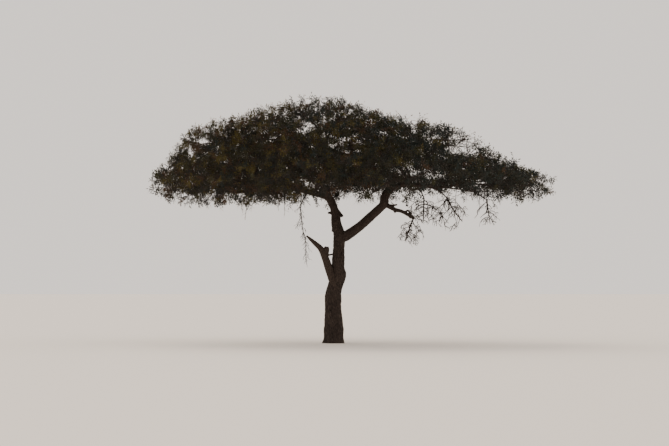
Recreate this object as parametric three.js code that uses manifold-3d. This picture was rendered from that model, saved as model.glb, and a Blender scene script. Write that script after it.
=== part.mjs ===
// A lone flat-crowned acacia of the savanna at its real size: a leaning trunk with a root flare, a broken
// dead stem beside it, two main limbs, crooked boughs that leave them, and the pads of foliage they carry.
// Units are millimetres. +Z is up, +X is the right-hand side of the front view and +Y points away from it.
// The origin is the middle of the flat cut under the trunk, at ground level.

import * as THREE from "three";
import { mergeVertices } from "three/addons/utils/BufferGeometryUtils.js";
import Module from "manifold-3d";

const wasm = await Module();
wasm.setup();

// Driving sizes of the crown. It is measured round an upright axis, from there to each side's tips.
const CROWN_TOP = 9760;
const CROWN_AXIS_X = -450;
const CROWN_AXIS_Y = 60;
const REACH_LEFT = 6700;
const REACH_RIGHT = 8790;
const REACH_DEPTH = 6700;
const FLOOR_TILT = 0.03;
const RIGHT_CROWDING = 0.3;

// The crown's top and floor on each side: heights at shares of the reach from the axis.
const TOP_LEFT = [[0, CROWN_TOP], [0.22, 9350], [0.57, 8650], [0.78, 8200], [0.92, 6900], [1, 6450]];
const TOP_RIGHT = [
  [0, CROWN_TOP],
  [0.15, 9400],
  [0.3, 8900],
  [0.52, 8500],
  [0.68, 8000],
  [0.8, 7200],
  [1, 6400],
];
const FLOOR_LEFT = [[0, 5600], [0.13, 5600], [0.3, 5230], [0.83, 5260], [1, 5800]];
const FLOOR_RIGHT = [[0, 5560], [0.3, 5600], [0.4, 6000], [0.62, 5950], [0.8, 5400], [1, 5600]];

// The three tiers of foliage masses, from the rim to the summit. Shares are of the crown's reach on that
// side, and rise is where a mass's middle lies between the floor and the top, or the roof if that is lower.
const RIM = { count: 10, share: 0.76, halfShare: 0.24, turn: 0, roof: 7350, rise: 0.5 };
const UPPER = {
  count: 7,
  share: 0.5,
  shareLeft: 0.56,
  halfShare: 0.26,
  turn: 25,
  roof: CROWN_TOP,
  rise: 0.78,
};
const SUMMIT = { count: 3, share: 0.16, halfShare: 0.22, turn: 90, roof: CROWN_TOP, rise: 0.84 };
const MASS_CLEARANCE = 80;
const FLATNESS = 1.9;

// One leaf stands for a whole spray of the tiny real leaflets. Its outline is given in shares of its width
// and length, with the root first, and its ridge stands over the middle of it.
const LEAF_LENGTH = 1300;
const LEAF_WIDTH = 800;
const LEAF_THICKNESS = 60;
const LEAF_OUTLINE = [[0, 0], [0.5, 0.6], [0.28, 0.95], [-0.22, 1], [-0.5, 0.66]];
const LEAF_SPACING = 480;
const MOST_LEAVES = 4;
const LEAF_SCALES = [1, 1, 1, 1, 0.88, 0.88, 0.88, 0.76, 0.76, 0.64];
const TIP_LEAF_SCALES = Array.from({ length: 41 }, (_, i) => 1.2 - 0.02 * i);
const TIP_LEAF_LIFT = [-16, 20];
const TIP_LEAF_SINK = 6;
const LEAF_SIDE = 60;
const LEAF_SWING = 22;
const LEAF_LIFT = [-30, 45];
const LEAF_ROLL = 55;
const ROOM_PER_TIP = 1.1e9;
const TIPS = [6, 7];
const TIP_CANDIDATES = 900;
const TIP_ROOM = [0.5, 0.18];
const SCATTER = 1.5;
const TWIG_RINGS = 2;
const STEM_RADII = [46, 28];
const TWIG_TIP_RADIUS = 17;
const TWIG_SHARE = 0.5;

// The sprays of bare twigs: how many twigs each has, their thickness and the room left round a twig's tip.
const BARE_TIPS = 11;
const BARE_STEM_RADII = [22, 11];
const BARE_TIP_RADIUS = 5;
const BARE_ROOM = 150;

// Joints between the pieces.
const GAP = 0.3;
const ROOT_FLARE = 0.28;

const BARK = { color: 0x4a3f37, roughness: 0.95, metalness: 0 };
const DEAD_WOOD = { color: 0x5a4c42, roughness: 0.9, metalness: 0 };
const FOLIAGE = { color: 0x3c4526, roughness: 0.8, metalness: 0 };

const vec = (x, y, z) => new THREE.Vector3(x, y, z);
const UP = vec(0, 0, 1);
const { clamp, lerp, smoothstep, degToRad } = THREE.MathUtils;

// A small linear congruential generator, so that every build grows the same tree.
function seeded(seed) {
  let state = seed >>> 0;
  return (low = 0, high = 1) => {
    state = (Math.imul(state, 1664525) + 1013904223) >>> 0;
    return low + ((high - low) * state) / 4294967296;
  };
}

// A closed three.js geometry as a manifold-3d solid.
function solidOf(geometry) {
  geometry.deleteAttribute("normal");
  geometry.deleteAttribute("uv");
  const merged = mergeVertices(geometry, 1e-3);
  return new wasm.Manifold(
    new wasm.Mesh({
      numProp: 3,
      vertProperties: new Float32Array(merged.attributes.position.array),
      triVerts: new Uint32Array(merged.index.array),
    }),
  );
}

// The largest piece of a solid, with any sealed hollow left out.
function largestPiece(solid) {
  const pieces = solid.decompose();
  return pieces.reduce((best, piece) => (piece.volume() > best.volume() ? piece : best));
}

// A round tapering rod along a path. radiusAt takes the share of the length and the angle round it, and
// extra is added to the radius and to both ends.
function rodGeometry(path, radiusAt, sides, rings, extra = 0) {
  const geometry = new THREE.CylinderGeometry(1, 1, 1, sides, rings);
  const frames = path.computeFrenetFrames(rings, false);
  const position = geometry.attributes.position;
  const place = vec(0, 0, 0);
  for (let i = 0; i < position.count; i++) {
    place.fromBufferAttribute(position, i);
    const ring = Math.round((place.y + 0.5) * rings);
    const share = ring / rings;
    const radius = radiusAt(share, Math.atan2(place.x, place.z)) + extra;
    const end = ring === rings ? extra : ring === 0 ? -extra : 0;
    const point = path
      .getPointAt(share)
      .addScaledVector(frames.tangents[ring], end)
      .addScaledVector(frames.binormals[ring], place.x * radius)
      .addScaledVector(frames.normals[ring], place.z * radius);
    position.setXYZ(i, point.x, point.y, point.z);
  }
  return geometry;
}

const pathThrough = (points) => new THREE.CatmullRomCurve3(points, false, "catmullrom", 0.5);

// Every limb made so far, in the order in which they are cut clear of each other.
const limbs = [];

function boxesMeet(a, b) {
  const first = a.boundingBox();
  const second = b.boundingBox();
  return [0, 1, 2].every((k) => first.min[k] <= second.max[k] && second.min[k] <= first.max[k]);
}

const overlaps = (a, b) => boxesMeet(a, b) && !a.intersect(b).isEmpty();

// Cuts a solid clear of all the limbs made before it.
function cutClear(solid) {
  const near = limbs.filter((limb) => boxesMeet(limb.clearance, solid));
  const cut = near.reduce((rest, limb) => rest.subtract(limb.clearance), solid);
  return largestPiece(cut);
}

const touchesLimb = (solid) => limbs.some((limb) => overlaps(limb.clearance, solid));

// Adds a limb: a tapering rod with a flared collar at its root, and any knots or snags fused to it.
function addLimb(name, points, [rootRadius, tipRadius], options = {}) {
  const { sides = 8, rings = 8, flare = ROOT_FLARE, bend = 0.8, extras = [], shape = null } = options;
  const { material = BARK } = options;
  const path = pathThrough(points);
  const length = path.getLength();
  const taper = (share) =>
    lerp(rootRadius, tipRadius, share ** bend) +
    flare * rootRadius * Math.exp((-share * length) / (2 * rootRadius));
  const radiusAt = shape || taper;
  const grown = (extra) => {
    const rod = solidOf(rodGeometry(path, radiusAt, sides, rings, extra));
    return extras.reduce((whole, make) => whole.add(make(extra)), rod);
  };
  const solid = cutClear(grown(0));
  limbs.push({ name, path, length, radiusAt, solid, clearance: grown(GAP), material });
  return limbs.at(-1);
}

// The trunk's stations: the middle of its section and its radius at each height, and the swell of its flare.
const TRUNK_STATIONS = [
  { height: -120, x: 0, y: 0, radius: 352 },
  { height: 400, x: 0, y: 0, radius: 334 },
  { height: 1650, x: -36, y: 50, radius: 298 },
  { height: 2100, x: 27, y: 70, radius: 277 },
  { height: 2550, x: 185, y: 60, radius: 262 },
  { height: 2950, x: 161, y: 30, radius: 224 },
  { height: 4060, x: 205, y: -20, radius: 200 },
];
const BUTTRESSES = 5;
const BUTTRESS_SWELL = 0.2;
const FLARE_HEIGHT = 330;

function makeTrunk() {
  const points = TRUNK_STATIONS.map(({ x, y, height }) => vec(x, y, height));
  const path = pathThrough(points);
  const radiusAtHeight = (height) => {
    const next = Math.max(1, TRUNK_STATIONS.findIndex((station) => station.height >= height));
    const [low, high] = TRUNK_STATIONS.slice(next - 1, next + 1);
    return lerp(low.radius, high.radius, smoothstep(height, low.height, high.height));
  };
  const shape = (share, angle) => {
    const height = Math.min(path.getPointAt(share).z, TRUNK_STATIONS.at(-1).height);
    const swell = Math.exp(-Math.max(height, 0) / FLARE_HEIGHT);
    const buttress = 1 + Math.cos(angle * BUTTRESSES) * 0.6;
    return radiusAtHeight(height) * (1 + BUTTRESS_SWELL * swell * buttress);
  };
  const trunk = addLimb("trunk", points, [0, 0], { sides: 15, rings: 13, shape });
  trunk.solid = trunk.solid.trimByPlane([0, 0, 1], 0);
  return trunk;
}

// A short rod fused to a limb, such as a snag, a peg or a spur.
const spur = (points, [rootRadius, tipRadius], sides = 5) => (extra) =>
  solidOf(rodGeometry(pathThrough(points), (share) => lerp(rootRadius, tipRadius, share), sides, 2, extra));

// A rounded lump fused to a limb, where a branch was lost.
const knot = (x, y, z, radius, stretch = 1) => (extra) => {
  const [sides, rings] = radius > 70 ? [6, 4] : [5, 3];
  const ball = new THREE.SphereGeometry(radius + extra, sides, rings);
  return solidOf(ball.scale(1, 1, stretch).translate(x, y, z));
};

// The limbs that the front view shows bare, each with its own knots and snags.
function makeMainLimbs() {
  makeTrunk();
  addLimb(
    "broken_stub",
    [
      vec(60, -40, 2150),
      vec(-155, -85, 2700),
      vec(-318, -115, 3200),
      vec(-495, -135, 3570),
      vec(-735, -150, 3800),
      vec(-1045, -170, 4072),
    ],
    [136, 22],
    {
      sides: 8,
      rings: 8,
      flare: 0.6,
      bend: 3.2,
      material: DEAD_WOOD,
      extras: [
        knot(-278, -113, 3570, 112),
        spur([vec(-350, -122, 3310), vec(-285, -113, 3575)], [128, 100]),
        spur([vec(-300, -105, 3325), vec(-20, -60, 3378)], [34, 20]),
      ],
    },
  );
  const leader = addLimb(
    "leader",
    [vec(205, -20, 4060), vec(92, 0, 4520), vec(46, 60, 4960), vec(-80, 100, 5340), vec(-270, 120, 5640)],
    [196, 128],
    {
      sides: 9,
      rings: 8,
      flare: 0.04,
      extras: [
        spur([vec(-70, 90, 5330), vec(110, 70, 5060), vec(330, 50, 4800)], [90, 42], 6),
        spur([vec(-40, 60, 4930), vec(-235, 50, 4950)], [48, 30]),
        knot(-26, 0, 4280, 70),
      ],
    },
  );
  const rightBough = addLimb(
    "right_bough",
    [
      vec(240, -40, 3960),
      vec(480, -60, 4080),
      vec(930, -130, 4390),
      vec(1310, -200, 4720),
      vec(1930, -250, 5290),
    ],
    [172, 142],
    {
      sides: 9,
      rings: 8,
      flare: 0.12,
      extras: [knot(1700, -240, 4985, 90), knot(1240, -190, 4560, 80)],
    },
  );
  const riser = addLimb(
    "right_riser",
    [vec(1900, -250, 5260), vec(1930, -240, 5520), vec(2090, -200, 5790), vec(2350, -150, 6020)],
    [150, 118],
    { sides: 9, rings: 5, flare: 0.06 },
  );
  addLimb(
    "elbow_branch",
    [
      vec(2000, -260, 5230),
      vec(2310, -300, 5060),
      vec(2560, -330, 4990),
      vec(2800, -350, 4860),
      vec(2965, -350, 4780),
      vec(3015, -350, 4690),
    ],
    [72, 44],
    {
      sides: 5,
      rings: 6,
      extras: [
        knot(2700, -345, 4960, 58),
        knot(2900, -345, 4905, 54),
        knot(2880, -355, 4760, 50),
        spur([vec(2700, -345, 4960), vec(2800, -345, 5020), vec(2900, -345, 4905)], [26, 26]),
        spur([vec(2060, -265, 5215), vec(2260, -290, 5225), vec(2400, -310, 5245)], [40, 16]),
        spur([vec(2200, -290, 5105), vec(2330, -300, 4930)], [28, 14]),
      ],
    },
  );
  const leftBough = addLimb(
    "left_bough",
    [
      vec(-215, 115, 5560),
      vec(-640, 60, 5680),
      vec(-1100, 0, 5790),
      vec(-1570, -60, 5940),
      vec(-2050, -120, 6050),
    ],
    [122, 84],
    { sides: 8, rings: 6, flare: 0.05 },
  );
  const crownLeader = addLimb(
    "crown_leader",
    [vec(-230, 118, 5560), vec(-440, 150, 6080), vec(-330, 60, 6700), vec(-480, 90, 7420)],
    [112, 62],
    { sides: 7, rings: 6, flare: 0.1 },
  );
  return { leader, leftBough, riser, crownLeader };
}

// How far the crown reaches from its axis in a direction, given in radians from +X towards +Y.
function reachAt(heading) {
  const side = Math.cos(heading) > 0 ? REACH_RIGHT : REACH_LEFT;
  return 1 / Math.hypot(Math.cos(heading) / side, Math.sin(heading) / REACH_DEPTH);
}

// A height read off a row of [share, height] stations.
function heightAt(stations, share) {
  const next = Math.max(1, stations.findIndex((station) => station[0] >= share));
  const [low, high] = stations.slice(next - 1, next + 1);
  return lerp(low[1], high[1], (share - low[0]) / (high[0] - low[0]));
}

// The crown's top and floor at a share of its reach in a direction.
const rightness = (heading) => (1 + Math.cos(heading)) / 2;
const topAt = (heading, share) =>
  lerp(heightAt(TOP_LEFT, share), heightAt(TOP_RIGHT, share), rightness(heading));
const floorAt = (heading, share) =>
  lerp(heightAt(FLOOR_LEFT, share), heightAt(FLOOR_RIGHT, share), rightness(heading)) +
  FLOOR_TILT * reachAt(heading) * share * Math.sin(heading);

function insideCrown(point) {
  const heading = Math.atan2(point.y - CROWN_AXIS_Y, point.x - CROWN_AXIS_X);
  const share = Math.hypot(point.x - CROWN_AXIS_X, point.y - CROWN_AXIS_Y) / reachAt(heading);
  return share < 1 && point.z < topAt(heading, share) && point.z > floorAt(heading, share);
}

// The spaces of one tier's masses, spread round the axis. They stand closer together on the right, where
// the crown reaches further.
function padsOf(name, tier) {
  return Array.from({ length: tier.count }, (_, i) => {
    const turn = degToRad(tier.turn + (360 / tier.count) * i);
    const heading = turn - RIGHT_CROWDING * Math.sin(turn);
    const share = lerp(tier.shareLeft ?? tier.share, tier.share, rightness(heading));
    const radius = reachAt(heading) * share;
    const top = Math.min(topAt(heading, share), tier.roof);
    const floor = floorAt(heading, share);
    const x = CROWN_AXIS_X + radius * Math.cos(heading);
    const y = CROWN_AXIS_Y + radius * Math.sin(heading);
    const centre = vec(x, y, lerp(floor, top, tier.rise));
    const half = vec(reachAt(heading) * tier.halfShare, (Math.PI * radius) / tier.count, top - centre.z);
    return { ...spaceOf(`${name}_${i + 1}`, centre, heading, half, FOLIAGE), contains: insideCrown };
  });
}

// A space for one mass, with its own outward and sideways directions in plan. By itself it is an ellipsoid.
function spaceOf(name, centre, heading, half, material) {
  const outward = vec(Math.cos(heading), Math.sin(heading), 0);
  const sideways = vec(-outward.y, outward.x, 0);
  const at = (along, across, rise) =>
    centre
      .clone()
      .addScaledVector(outward, half.x * along)
      .addScaledVector(sideways, half.y * across)
      .addScaledVector(UP, half.z * rise);
  const contains = (point) => {
    const offset = point.clone().sub(centre);
    return vec(offset.dot(outward), offset.dot(sideways), offset.z).divide(half).lengthSq() < 1;
  };
  return { name, centre, lead: outward, half, at, contains, material };
}

const pads = {
  rim: padsOf("rim_foliage", RIM),
  upper: padsOf("upper_foliage", UPPER),
  summit: padsOf("summit_foliage", SUMMIT),
};

// The sprays of bare twigs that hang under the crown, each with the direction in which its stem runs.
const hangingSpace = (name, centre, half, lead) => ({
  ...spaceOf(name, centre, 0, half, DEAD_WOOD),
  lead,
  bare: true,
  tips: BARE_TIPS,
});

const hanging = [
  hangingSpace("elbow_twigs", vec(2900, -350, 4150), vec(530, 420, 500), vec(-0.15, 0, -1)),
  hangingSpace("drooping_twigs_1", vec(4280, -260, 4880), vec(860, 650, 700), vec(0.7, 0, -0.7)),
  hangingSpace("drooping_twigs_2", vec(3450, 330, 5000), vec(620, 560, 560), vec(0.3, 0.3, -0.9)),
  hangingSpace("drooping_twigs_3", vec(5850, 200, 4920), vec(420, 420, 580), vec(0.3, 0, -0.9)),
];
const spaces = [...Object.values(pads).flat(), ...hanging];

// The share of a path that lies nearest to a point.
function nearestShare(path, point) {
  const shares = Array.from({ length: 21 }, (_, i) => i / 20);
  const away = (share) => path.getPointAt(share).distanceTo(point);
  return shares.reduce((best, share) => (away(share) < away(best) ? share : best));
}

// A crooked bough from a parent limb to the inner side of a mass, where it ends pointing at the mass's
// middle. Its middle stations are thrown off line by a seeded rule.
function addBough(name, parent, share, pad, [inward, drop], radii, seed) {
  const random = seeded(seed);
  const start = parent.path.getPointAt(share);
  const target = pad.at(-inward, 0, -drop);
  const run = target.clone().sub(start);
  const across = vec(-run.y, run.x, 0).normalize();
  const aim = run.clone().normalize().add(pad.centre.clone().sub(target).normalize()).normalize();
  const thrown = (point, rise) =>
    point
      .addScaledVector(across, run.length() * random(-0.07, 0.07))
      .addScaledVector(UP, run.length() * (rise + random(-0.03, 0.03)));
  const first = thrown(start.clone().addScaledVector(run, 0.3), 0.05);
  const second = thrown(target.clone().addScaledVector(aim, -0.33 * run.length()), 0);
  return addLimb(name, [start, first, second, target], radii, { sides: 6, rings: 5 });
}

// A short drooping bough that a hanging spray's stem starts from, at the top of the spray's space.
function addDroop(name, parent, share, space, radii) {
  const start = parent.path.getPointAt(share);
  const target = space.at(0, 0, 0.9);
  const crook = start.clone().lerp(target, 0.5).addScaledVector(UP, 60);
  addLimb(name, [start, crook, target], radii, { sides: 5, rings: 3 });
}

// The long thin dead twig that hangs down on the left, as x and z down its length.
const HANGING_TWIG = [[-1270, 5230], [-1240, 4860], [-1186, 4330], [-1079, 3876], [-1064, 3154]];

// The boughs of the crown: one to each mass. Upper boughs leave the rim bough that lies nearest under them.
function makeBoughs({ leader, leftBough, riser, crownLeader }) {
  const rimBoughs = pads.rim.map((pad, i) => {
    const parent = pad.centre.x > 1500 ? riser : pad.centre.x < -1500 ? leftBough : leader;
    const share = 0.76 + 0.07 * (i % 4);
    const bough = addBough(`rim_bough_${i + 1}`, parent, share, pad, [0.72, 0.42], [88, 42], 100 + i);
    return { pad, bough };
  });
  pads.upper.forEach((pad, i) => {
    const away = ({ pad: other }) => other.centre.distanceTo(pad.centre);
    const nearest = rimBoughs.reduce((best, item) => (away(item) < away(best) ? item : best));
    const share = clamp(nearestShare(nearest.bough.path, pad.centre) - 0.4, 0.14, 0.5);
    addBough(`upper_bough_${i + 1}`, nearest.bough, share, pad, [0.72, 0.42], [58, 34], 200 + i);
  });
  pads.summit.forEach((pad, i) => {
    addBough(`summit_bough_${i + 1}`, crownLeader, 0.62 + 0.17 * i, pad, [0.35, 0.6], [52, 32], 300 + i);
  });
  const [{ bough: rightRim }] = rimBoughs;
  addDroop("drooping_bough_1", rightRim, 0.6, hanging[1], [36, 22]);
  addDroop("drooping_bough_2", rightRim, 0.36, hanging[2], [34, 20]);
  addDroop("drooping_bough_3", rightRim, 0.96, hanging[3], [30, 18]);
  const hook = leftBough.path.getPointAt(0.42);
  const fall = HANGING_TWIG.map(([x, z]) => vec(x, hook.y, z));
  addLimb("hanging_twig", [hook, ...fall], [32, 12], { sides: 5, rings: 7, material: DEAD_WOOD });
}

// A mass keeps to its space, and to the part of it that is nearer to its own centre than to any other.
const CELL_SCALE = vec(1, 1, FLATNESS);
const cellDistance = (point, space) => point.clone().sub(space.centre).multiply(CELL_SCALE).length();

function insideSpace(point, space) {
  if (!space.contains(point)) return false;
  const own = cellDistance(point, space);
  return spaces.every((other) => other === space || cellDistance(point, other) > own + MASS_CLEARANCE);
}

// A leaf: a thin blade of eight faces, flat under and ridged on top, with its pointed root in the twig.
function leafSolid(root, direction, roll, scale) {
  const rim = LEAF_OUTLINE.map(([across, along]) => vec(across * LEAF_WIDTH, along * LEAF_LENGTH, 0));
  const corners = [...rim, vec(0, LEAF_LENGTH / 2, LEAF_THICKNESS)];
  const top = rim.map((_, i) => [i, (i + 1) % rim.length, rim.length]);
  const under = rim.slice(2).map((_, i) => [0, i + 2, i + 1]);
  const blade = new THREE.BufferGeometry().setFromPoints(corners).setIndex([...top, ...under].flat());
  const turn = new THREE.Quaternion().setFromAxisAngle(direction, roll);
  const side = direction.clone().cross(UP).normalize().applyQuaternion(turn);
  const axes = new THREE.Matrix4().makeBasis(side, direction, side.clone().cross(direction));
  return solidOf(blade.scale(scale, scale, scale).applyMatrix4(axes).translate(root.x, root.y, root.z));
}

function cornersOf(solid) {
  const { vertProperties, numVert } = solid.getMesh();
  return Array.from({ length: numVert }, (_, i) => vec(...vertProperties.subarray(i * 3, i * 3 + 3)));
}

// A direction turned from another by an angle in plan, and lifted to an angle above the level.
function turned(direction, swing, lift) {
  const heading = Math.atan2(direction.y, direction.x) + degToRad(swing);
  const level = Math.cos(degToRad(lift));
  return vec(Math.cos(heading) * level, Math.sin(heading) * level, Math.sin(degToRad(lift)));
}

// Twig tips spread evenly through a space. Of the seeded candidates that have room for leaves round them,
// the outermost comes first, and then each time the one furthest from the bough and the tips so far.
function spreadTips(space, start, random) {
  const [level, upright] = TIP_ROOM.map((share) => share * (space.bare ? BARE_ROOM : LEAF_LENGTH));
  const steps = [vec(level, 0, 0), vec(-level, 0, 0), vec(0, level, 0), vec(0, -level, 0)];
  steps.push(vec(0, 0, upright), vec(0, 0, -upright));
  const hasRoom = (point) => steps.every((step) => insideSpace(point.clone().add(step), space));
  const thrown = () => random(-SCATTER, SCATTER);
  const scatter = () => space.at(thrown(), thrown(), thrown());
  const free = Array.from({ length: TIP_CANDIDATES }, scatter).filter(hasRoom);
  const thrownOver = space.half.x * space.half.y * space.half.z * (2 * SCATTER) ** 3;
  const room = (thrownOver * free.length) / TIP_CANDIDATES;
  const count = space.tips ?? clamp(Math.round(room / ROOM_PER_TIP), ...TIPS);
  const outermost = (best, point) => (point.clone().sub(best).dot(space.lead) > 0 ? point : best);
  const tips = [free.reduce(outermost)];
  const apart = (point) =>
    Math.min(...[start, ...tips].map((other) => point.clone().sub(other).multiply(CELL_SCALE).length()));
  while (tips.length < count) {
    tips.push(free.reduce((best, point) => (apart(point) > apart(best) ? point : best)));
  }
  return tips;
}

// A point on the middle line of a twig's solid, which runs straight from ring to ring.
function middleOf(path, share) {
  const ring = Math.min(Math.floor(share * TWIG_RINGS), TWIG_RINGS - 1);
  const [low, high] = [ring, ring + 1].map((step) => path.getPointAt(step / TWIG_RINGS));
  return low.lerp(high, share * TWIG_RINGS - ring);
}

// Grows one mass: a stem from the bough's tip to the outermost twig tip, a twig from the stem to each other
// tip, and leaves along every twig. What would leave the space or touch a limb is skipped.
function growMass(space, bough, seed) {
  const random = seeded(seed);
  const wood = [];
  const leaves = [];
  const accept = (solid, kind, others) => {
    const inside = cornersOf(solid).every((corner) => insideSpace(corner, space));
    if (!inside || touchesLimb(solid) || others.some((other) => overlaps(other, solid))) return false;
    kind.push(solid);
    return true;
  };

  const twigAlong = (points, rootRadius, tipRadius, sides) => {
    const path = pathThrough(points);
    const radiusAt = (share) => lerp(rootRadius, tipRadius, share);
    const solid = solidOf(rodGeometry(path, radiusAt, sides, TWIG_RINGS));
    return { path, length: path.getLength(), radiusAt, solid };
  };

  const tipRadius = space.bare ? BARE_TIP_RADIUS : TWIG_TIP_RADIUS;
  const twigTo = (stem, tip) => {
    const share = Math.max(0.08, nearestShare(stem.path, tip) - random(0.15, 0.3));
    const node = middleOf(stem.path, share);
    const bend = node.clone().lerp(tip, 0.5).addScaledVector(UP, node.distanceTo(tip) * random(0.02, 0.1));
    return twigAlong([node, bend, tip], stem.radiusAt(share) * TWIG_SHARE, tipRadius, 3);
  };

  // A leaf that doesn't fit is tried again in other seeded directions, then smaller.
  const addLeaf = (twig, share, swing, lift, sunk, scales) => {
    const others = [...leaves, ...wood.filter((rod) => rod !== twig.solid)];
    scales.some((scale) => {
      const aim = swing + random(-LEAF_SWING, LEAF_SWING);
      const direction = turned(twig.path.getTangentAt(share), aim, random(...lift));
      const root = middleOf(twig.path, share).addScaledVector(direction, -sunk);
      const roll = degToRad(random(-LEAF_ROLL, LEAF_ROLL));
      return accept(leafSolid(root, direction, roll, scale), leaves, others);
    });
  };

  const addLeaves = (twig) => {
    addLeaf(twig, 1, 0, TIP_LEAF_LIFT, TIP_LEAF_SINK, TIP_LEAF_SCALES);
    const count = Math.min(MOST_LEAVES, Math.round(twig.length / LEAF_SPACING) + 1) - 1;
    for (let i = 1; i <= count; i++) {
      const share = Math.max(1 - (i * LEAF_SPACING * 0.55) / twig.length, 0.3);
      addLeaf(twig, share, i % 2 ? LEAF_SIDE : -LEAF_SIDE, LEAF_LIFT, 0, LEAF_SCALES);
    }
  };

  const start = bough.path.getPointAt(1 - 30 / bough.length);
  const [stemTip, ...tips] = spreadTips(space, start, random);
  const middle = start.clone().lerp(stemTip, 0.5).addScaledVector(UP, space.half.z * random(-0.1, 0.1));
  const stem = twigAlong([start, middle, stemTip], ...(space.bare ? BARE_STEM_RADII : STEM_RADII), 4);
  const forward = bough.path.getTangentAt(1);
  const end = bough.path.getPointAt(1).dot(forward) + GAP * 1.1;
  wood.push(cutClear(stem.solid.trimByPlane(forward.toArray(), end)));
  const twigs = tips.map((tip) => twigTo(stem, tip)).filter((twig) => accept(twig.solid, wood, []));
  if (!space.bare) [stem, ...twigs].forEach(addLeaves);
  return largestPiece(wasm.Manifold.union([...wood, ...leaves]));
}

// A three.js mesh of a finished solid.
function meshOf(name, solid, look) {
  const { vertProperties, triVerts } = solid.getMesh();
  const geometry = new THREE.BufferGeometry();
  geometry.setAttribute("position", new THREE.BufferAttribute(new Float32Array(vertProperties), 3));
  geometry.setIndex(new THREE.BufferAttribute(new Uint32Array(triVerts), 1));
  geometry.computeVertexNormals();
  const mesh = new THREE.Mesh(geometry, new THREE.MeshStandardMaterial(look));
  mesh.name = name;
  return mesh;
}

// The limb whose tip each mass grows from.
const CARRIERS = {
  elbow_twigs: "elbow_branch",
};
const carrierOf = (name) => CARRIERS[name] ?? name.replace("foliage", "bough").replace("twigs", "bough");

const tree = new THREE.Group();
makeBoughs(makeMainLimbs());
for (const limb of limbs) tree.add(meshOf(limb.name, limb.solid, limb.material));
spaces.forEach((space, i) => {
  const bough = limbs.find((limb) => limb.name === carrierOf(space.name));
  tree.add(meshOf(space.name, growMass(space, bough, 1000 + 7 * i), space.material));
});

export default tree;
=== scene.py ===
"""A flat-crowned savanna acacia, dressed round its solids.

The trunk and the boughs get bark with real relief. Each mass of foliage grows on from its bough by the same
seeded rule as in the part's source, and is carried on from there to fine twigs and sprays of small leaves.
Lengths are metres. +Z is up, +X is the right-hand side of the front view and +Y points away from it.
"""

import functools
import math

import bmesh
import bpy
import numpy as np
from mathutils import Matrix, Vector, noise


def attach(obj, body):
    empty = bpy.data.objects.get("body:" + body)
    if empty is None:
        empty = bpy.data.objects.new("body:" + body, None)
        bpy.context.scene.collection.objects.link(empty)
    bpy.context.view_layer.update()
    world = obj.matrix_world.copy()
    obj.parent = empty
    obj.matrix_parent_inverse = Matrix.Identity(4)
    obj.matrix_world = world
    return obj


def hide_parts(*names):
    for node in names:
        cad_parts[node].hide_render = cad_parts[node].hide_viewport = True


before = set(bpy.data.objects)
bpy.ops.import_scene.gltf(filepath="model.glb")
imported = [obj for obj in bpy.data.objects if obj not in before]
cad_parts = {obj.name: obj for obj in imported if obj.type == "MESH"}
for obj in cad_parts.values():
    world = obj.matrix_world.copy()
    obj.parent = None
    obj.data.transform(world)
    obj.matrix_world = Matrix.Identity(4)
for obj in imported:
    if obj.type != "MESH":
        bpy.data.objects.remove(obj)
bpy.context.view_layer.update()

bl_info = {
    "name": "Savanna Acacia",
    "version": (1, 0, 0),
    "blender": (4, 5, 0),
    "location": "View3D > Sidebar > Acacia",
    "description": "Bark, boughs, twigs and leaves of a flat-crowned acacia",
    "category": "Object",
}

# The crown's top, the place of its upright axis, and how far its tips reach from there to each side.
CROWN_TOP = 9.76
CROWN_AXIS = (-0.45, 0.06)
REACH_LEFT = 6.70
REACH_RIGHT = 8.79
REACH_DEPTH = 6.70
# How much the crown's floor rises for each metre to the back, and how strongly the masses crowd to the right.
FLOOR_TILT = 0.03
RIGHT_CROWDING = 0.3

# The crown's top and floor on each side: heights at shares of the reach from the axis.
TOP_LEFT = [(0, CROWN_TOP), (0.22, 9.35), (0.57, 8.65), (0.78, 8.2), (0.92, 6.9), (1, 6.45)]
TOP_RIGHT = [(0, CROWN_TOP), (0.15, 9.4), (0.3, 8.9), (0.52, 8.5), (0.68, 8), (0.8, 7.2), (1, 6.4)]
FLOOR_LEFT = [(0, 5.6), (0.13, 5.6), (0.3, 5.23), (0.83, 5.26), (1, 5.8)]
FLOOR_RIGHT = [(0, 5.56), (0.3, 5.6), (0.4, 6), (0.62, 5.95), (0.8, 5.4), (1, 5.6)]

# The three tiers of foliage masses, from the rim to the summit. Then each tier's boughs: their radii and
# their seed, and how far inward and downward in its mass each one ends, as shares of the mass's half sizes.
RIM = dict(count=10, share=0.76, share_left=0.76, half=0.24, turn=0, roof=7.35, rise=0.5)
UPPER = dict(count=7, share=0.5, share_left=0.56, half=0.26, turn=25, roof=CROWN_TOP, rise=0.78)
SUMMIT = dict(count=3, share=0.16, share_left=0.16, half=0.22, turn=90, roof=CROWN_TOP, rise=0.84)
RIM_BOUGHS = dict(radii=(0.088, 0.042), seed=100, inward=0.72, drop=0.42)
UPPER_BOUGHS = dict(radii=(0.058, 0.034), seed=200, inward=0.72, drop=0.42)
SUMMIT_BOUGHS = dict(radii=(0.052, 0.032), seed=300, inward=0.35, drop=0.6)
# Rim boughs further out than this leave the side limbs, and the ones between leave the leader.
PARTING = 1.5
# The room between two masses, and how much more a height counts than a width where they meet.
MASS_CLEARANCE = 0.08
FLATNESS = 1.9

# How the first twigs of a mass are spread, as in the source: how many places are thrown and how far, the
# room that a tip keeps to its sides and above and below, the cubic metres to a tip, and the fewest and most
# tips.
TIP_CANDIDATES = 900
SCATTER = 1.5
TIP_ROOM = (0.65, 0.234)
BARE_TIP_ROOM = (0.075, 0.027)
ROOM_PER_TIP = 1.1
TIPS = (6, 7)
BARE_TIPS = 11
# The first seed of the masses, and the step from one mass to the next.
MASS_SEEDS = (1000, 7)
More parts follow.
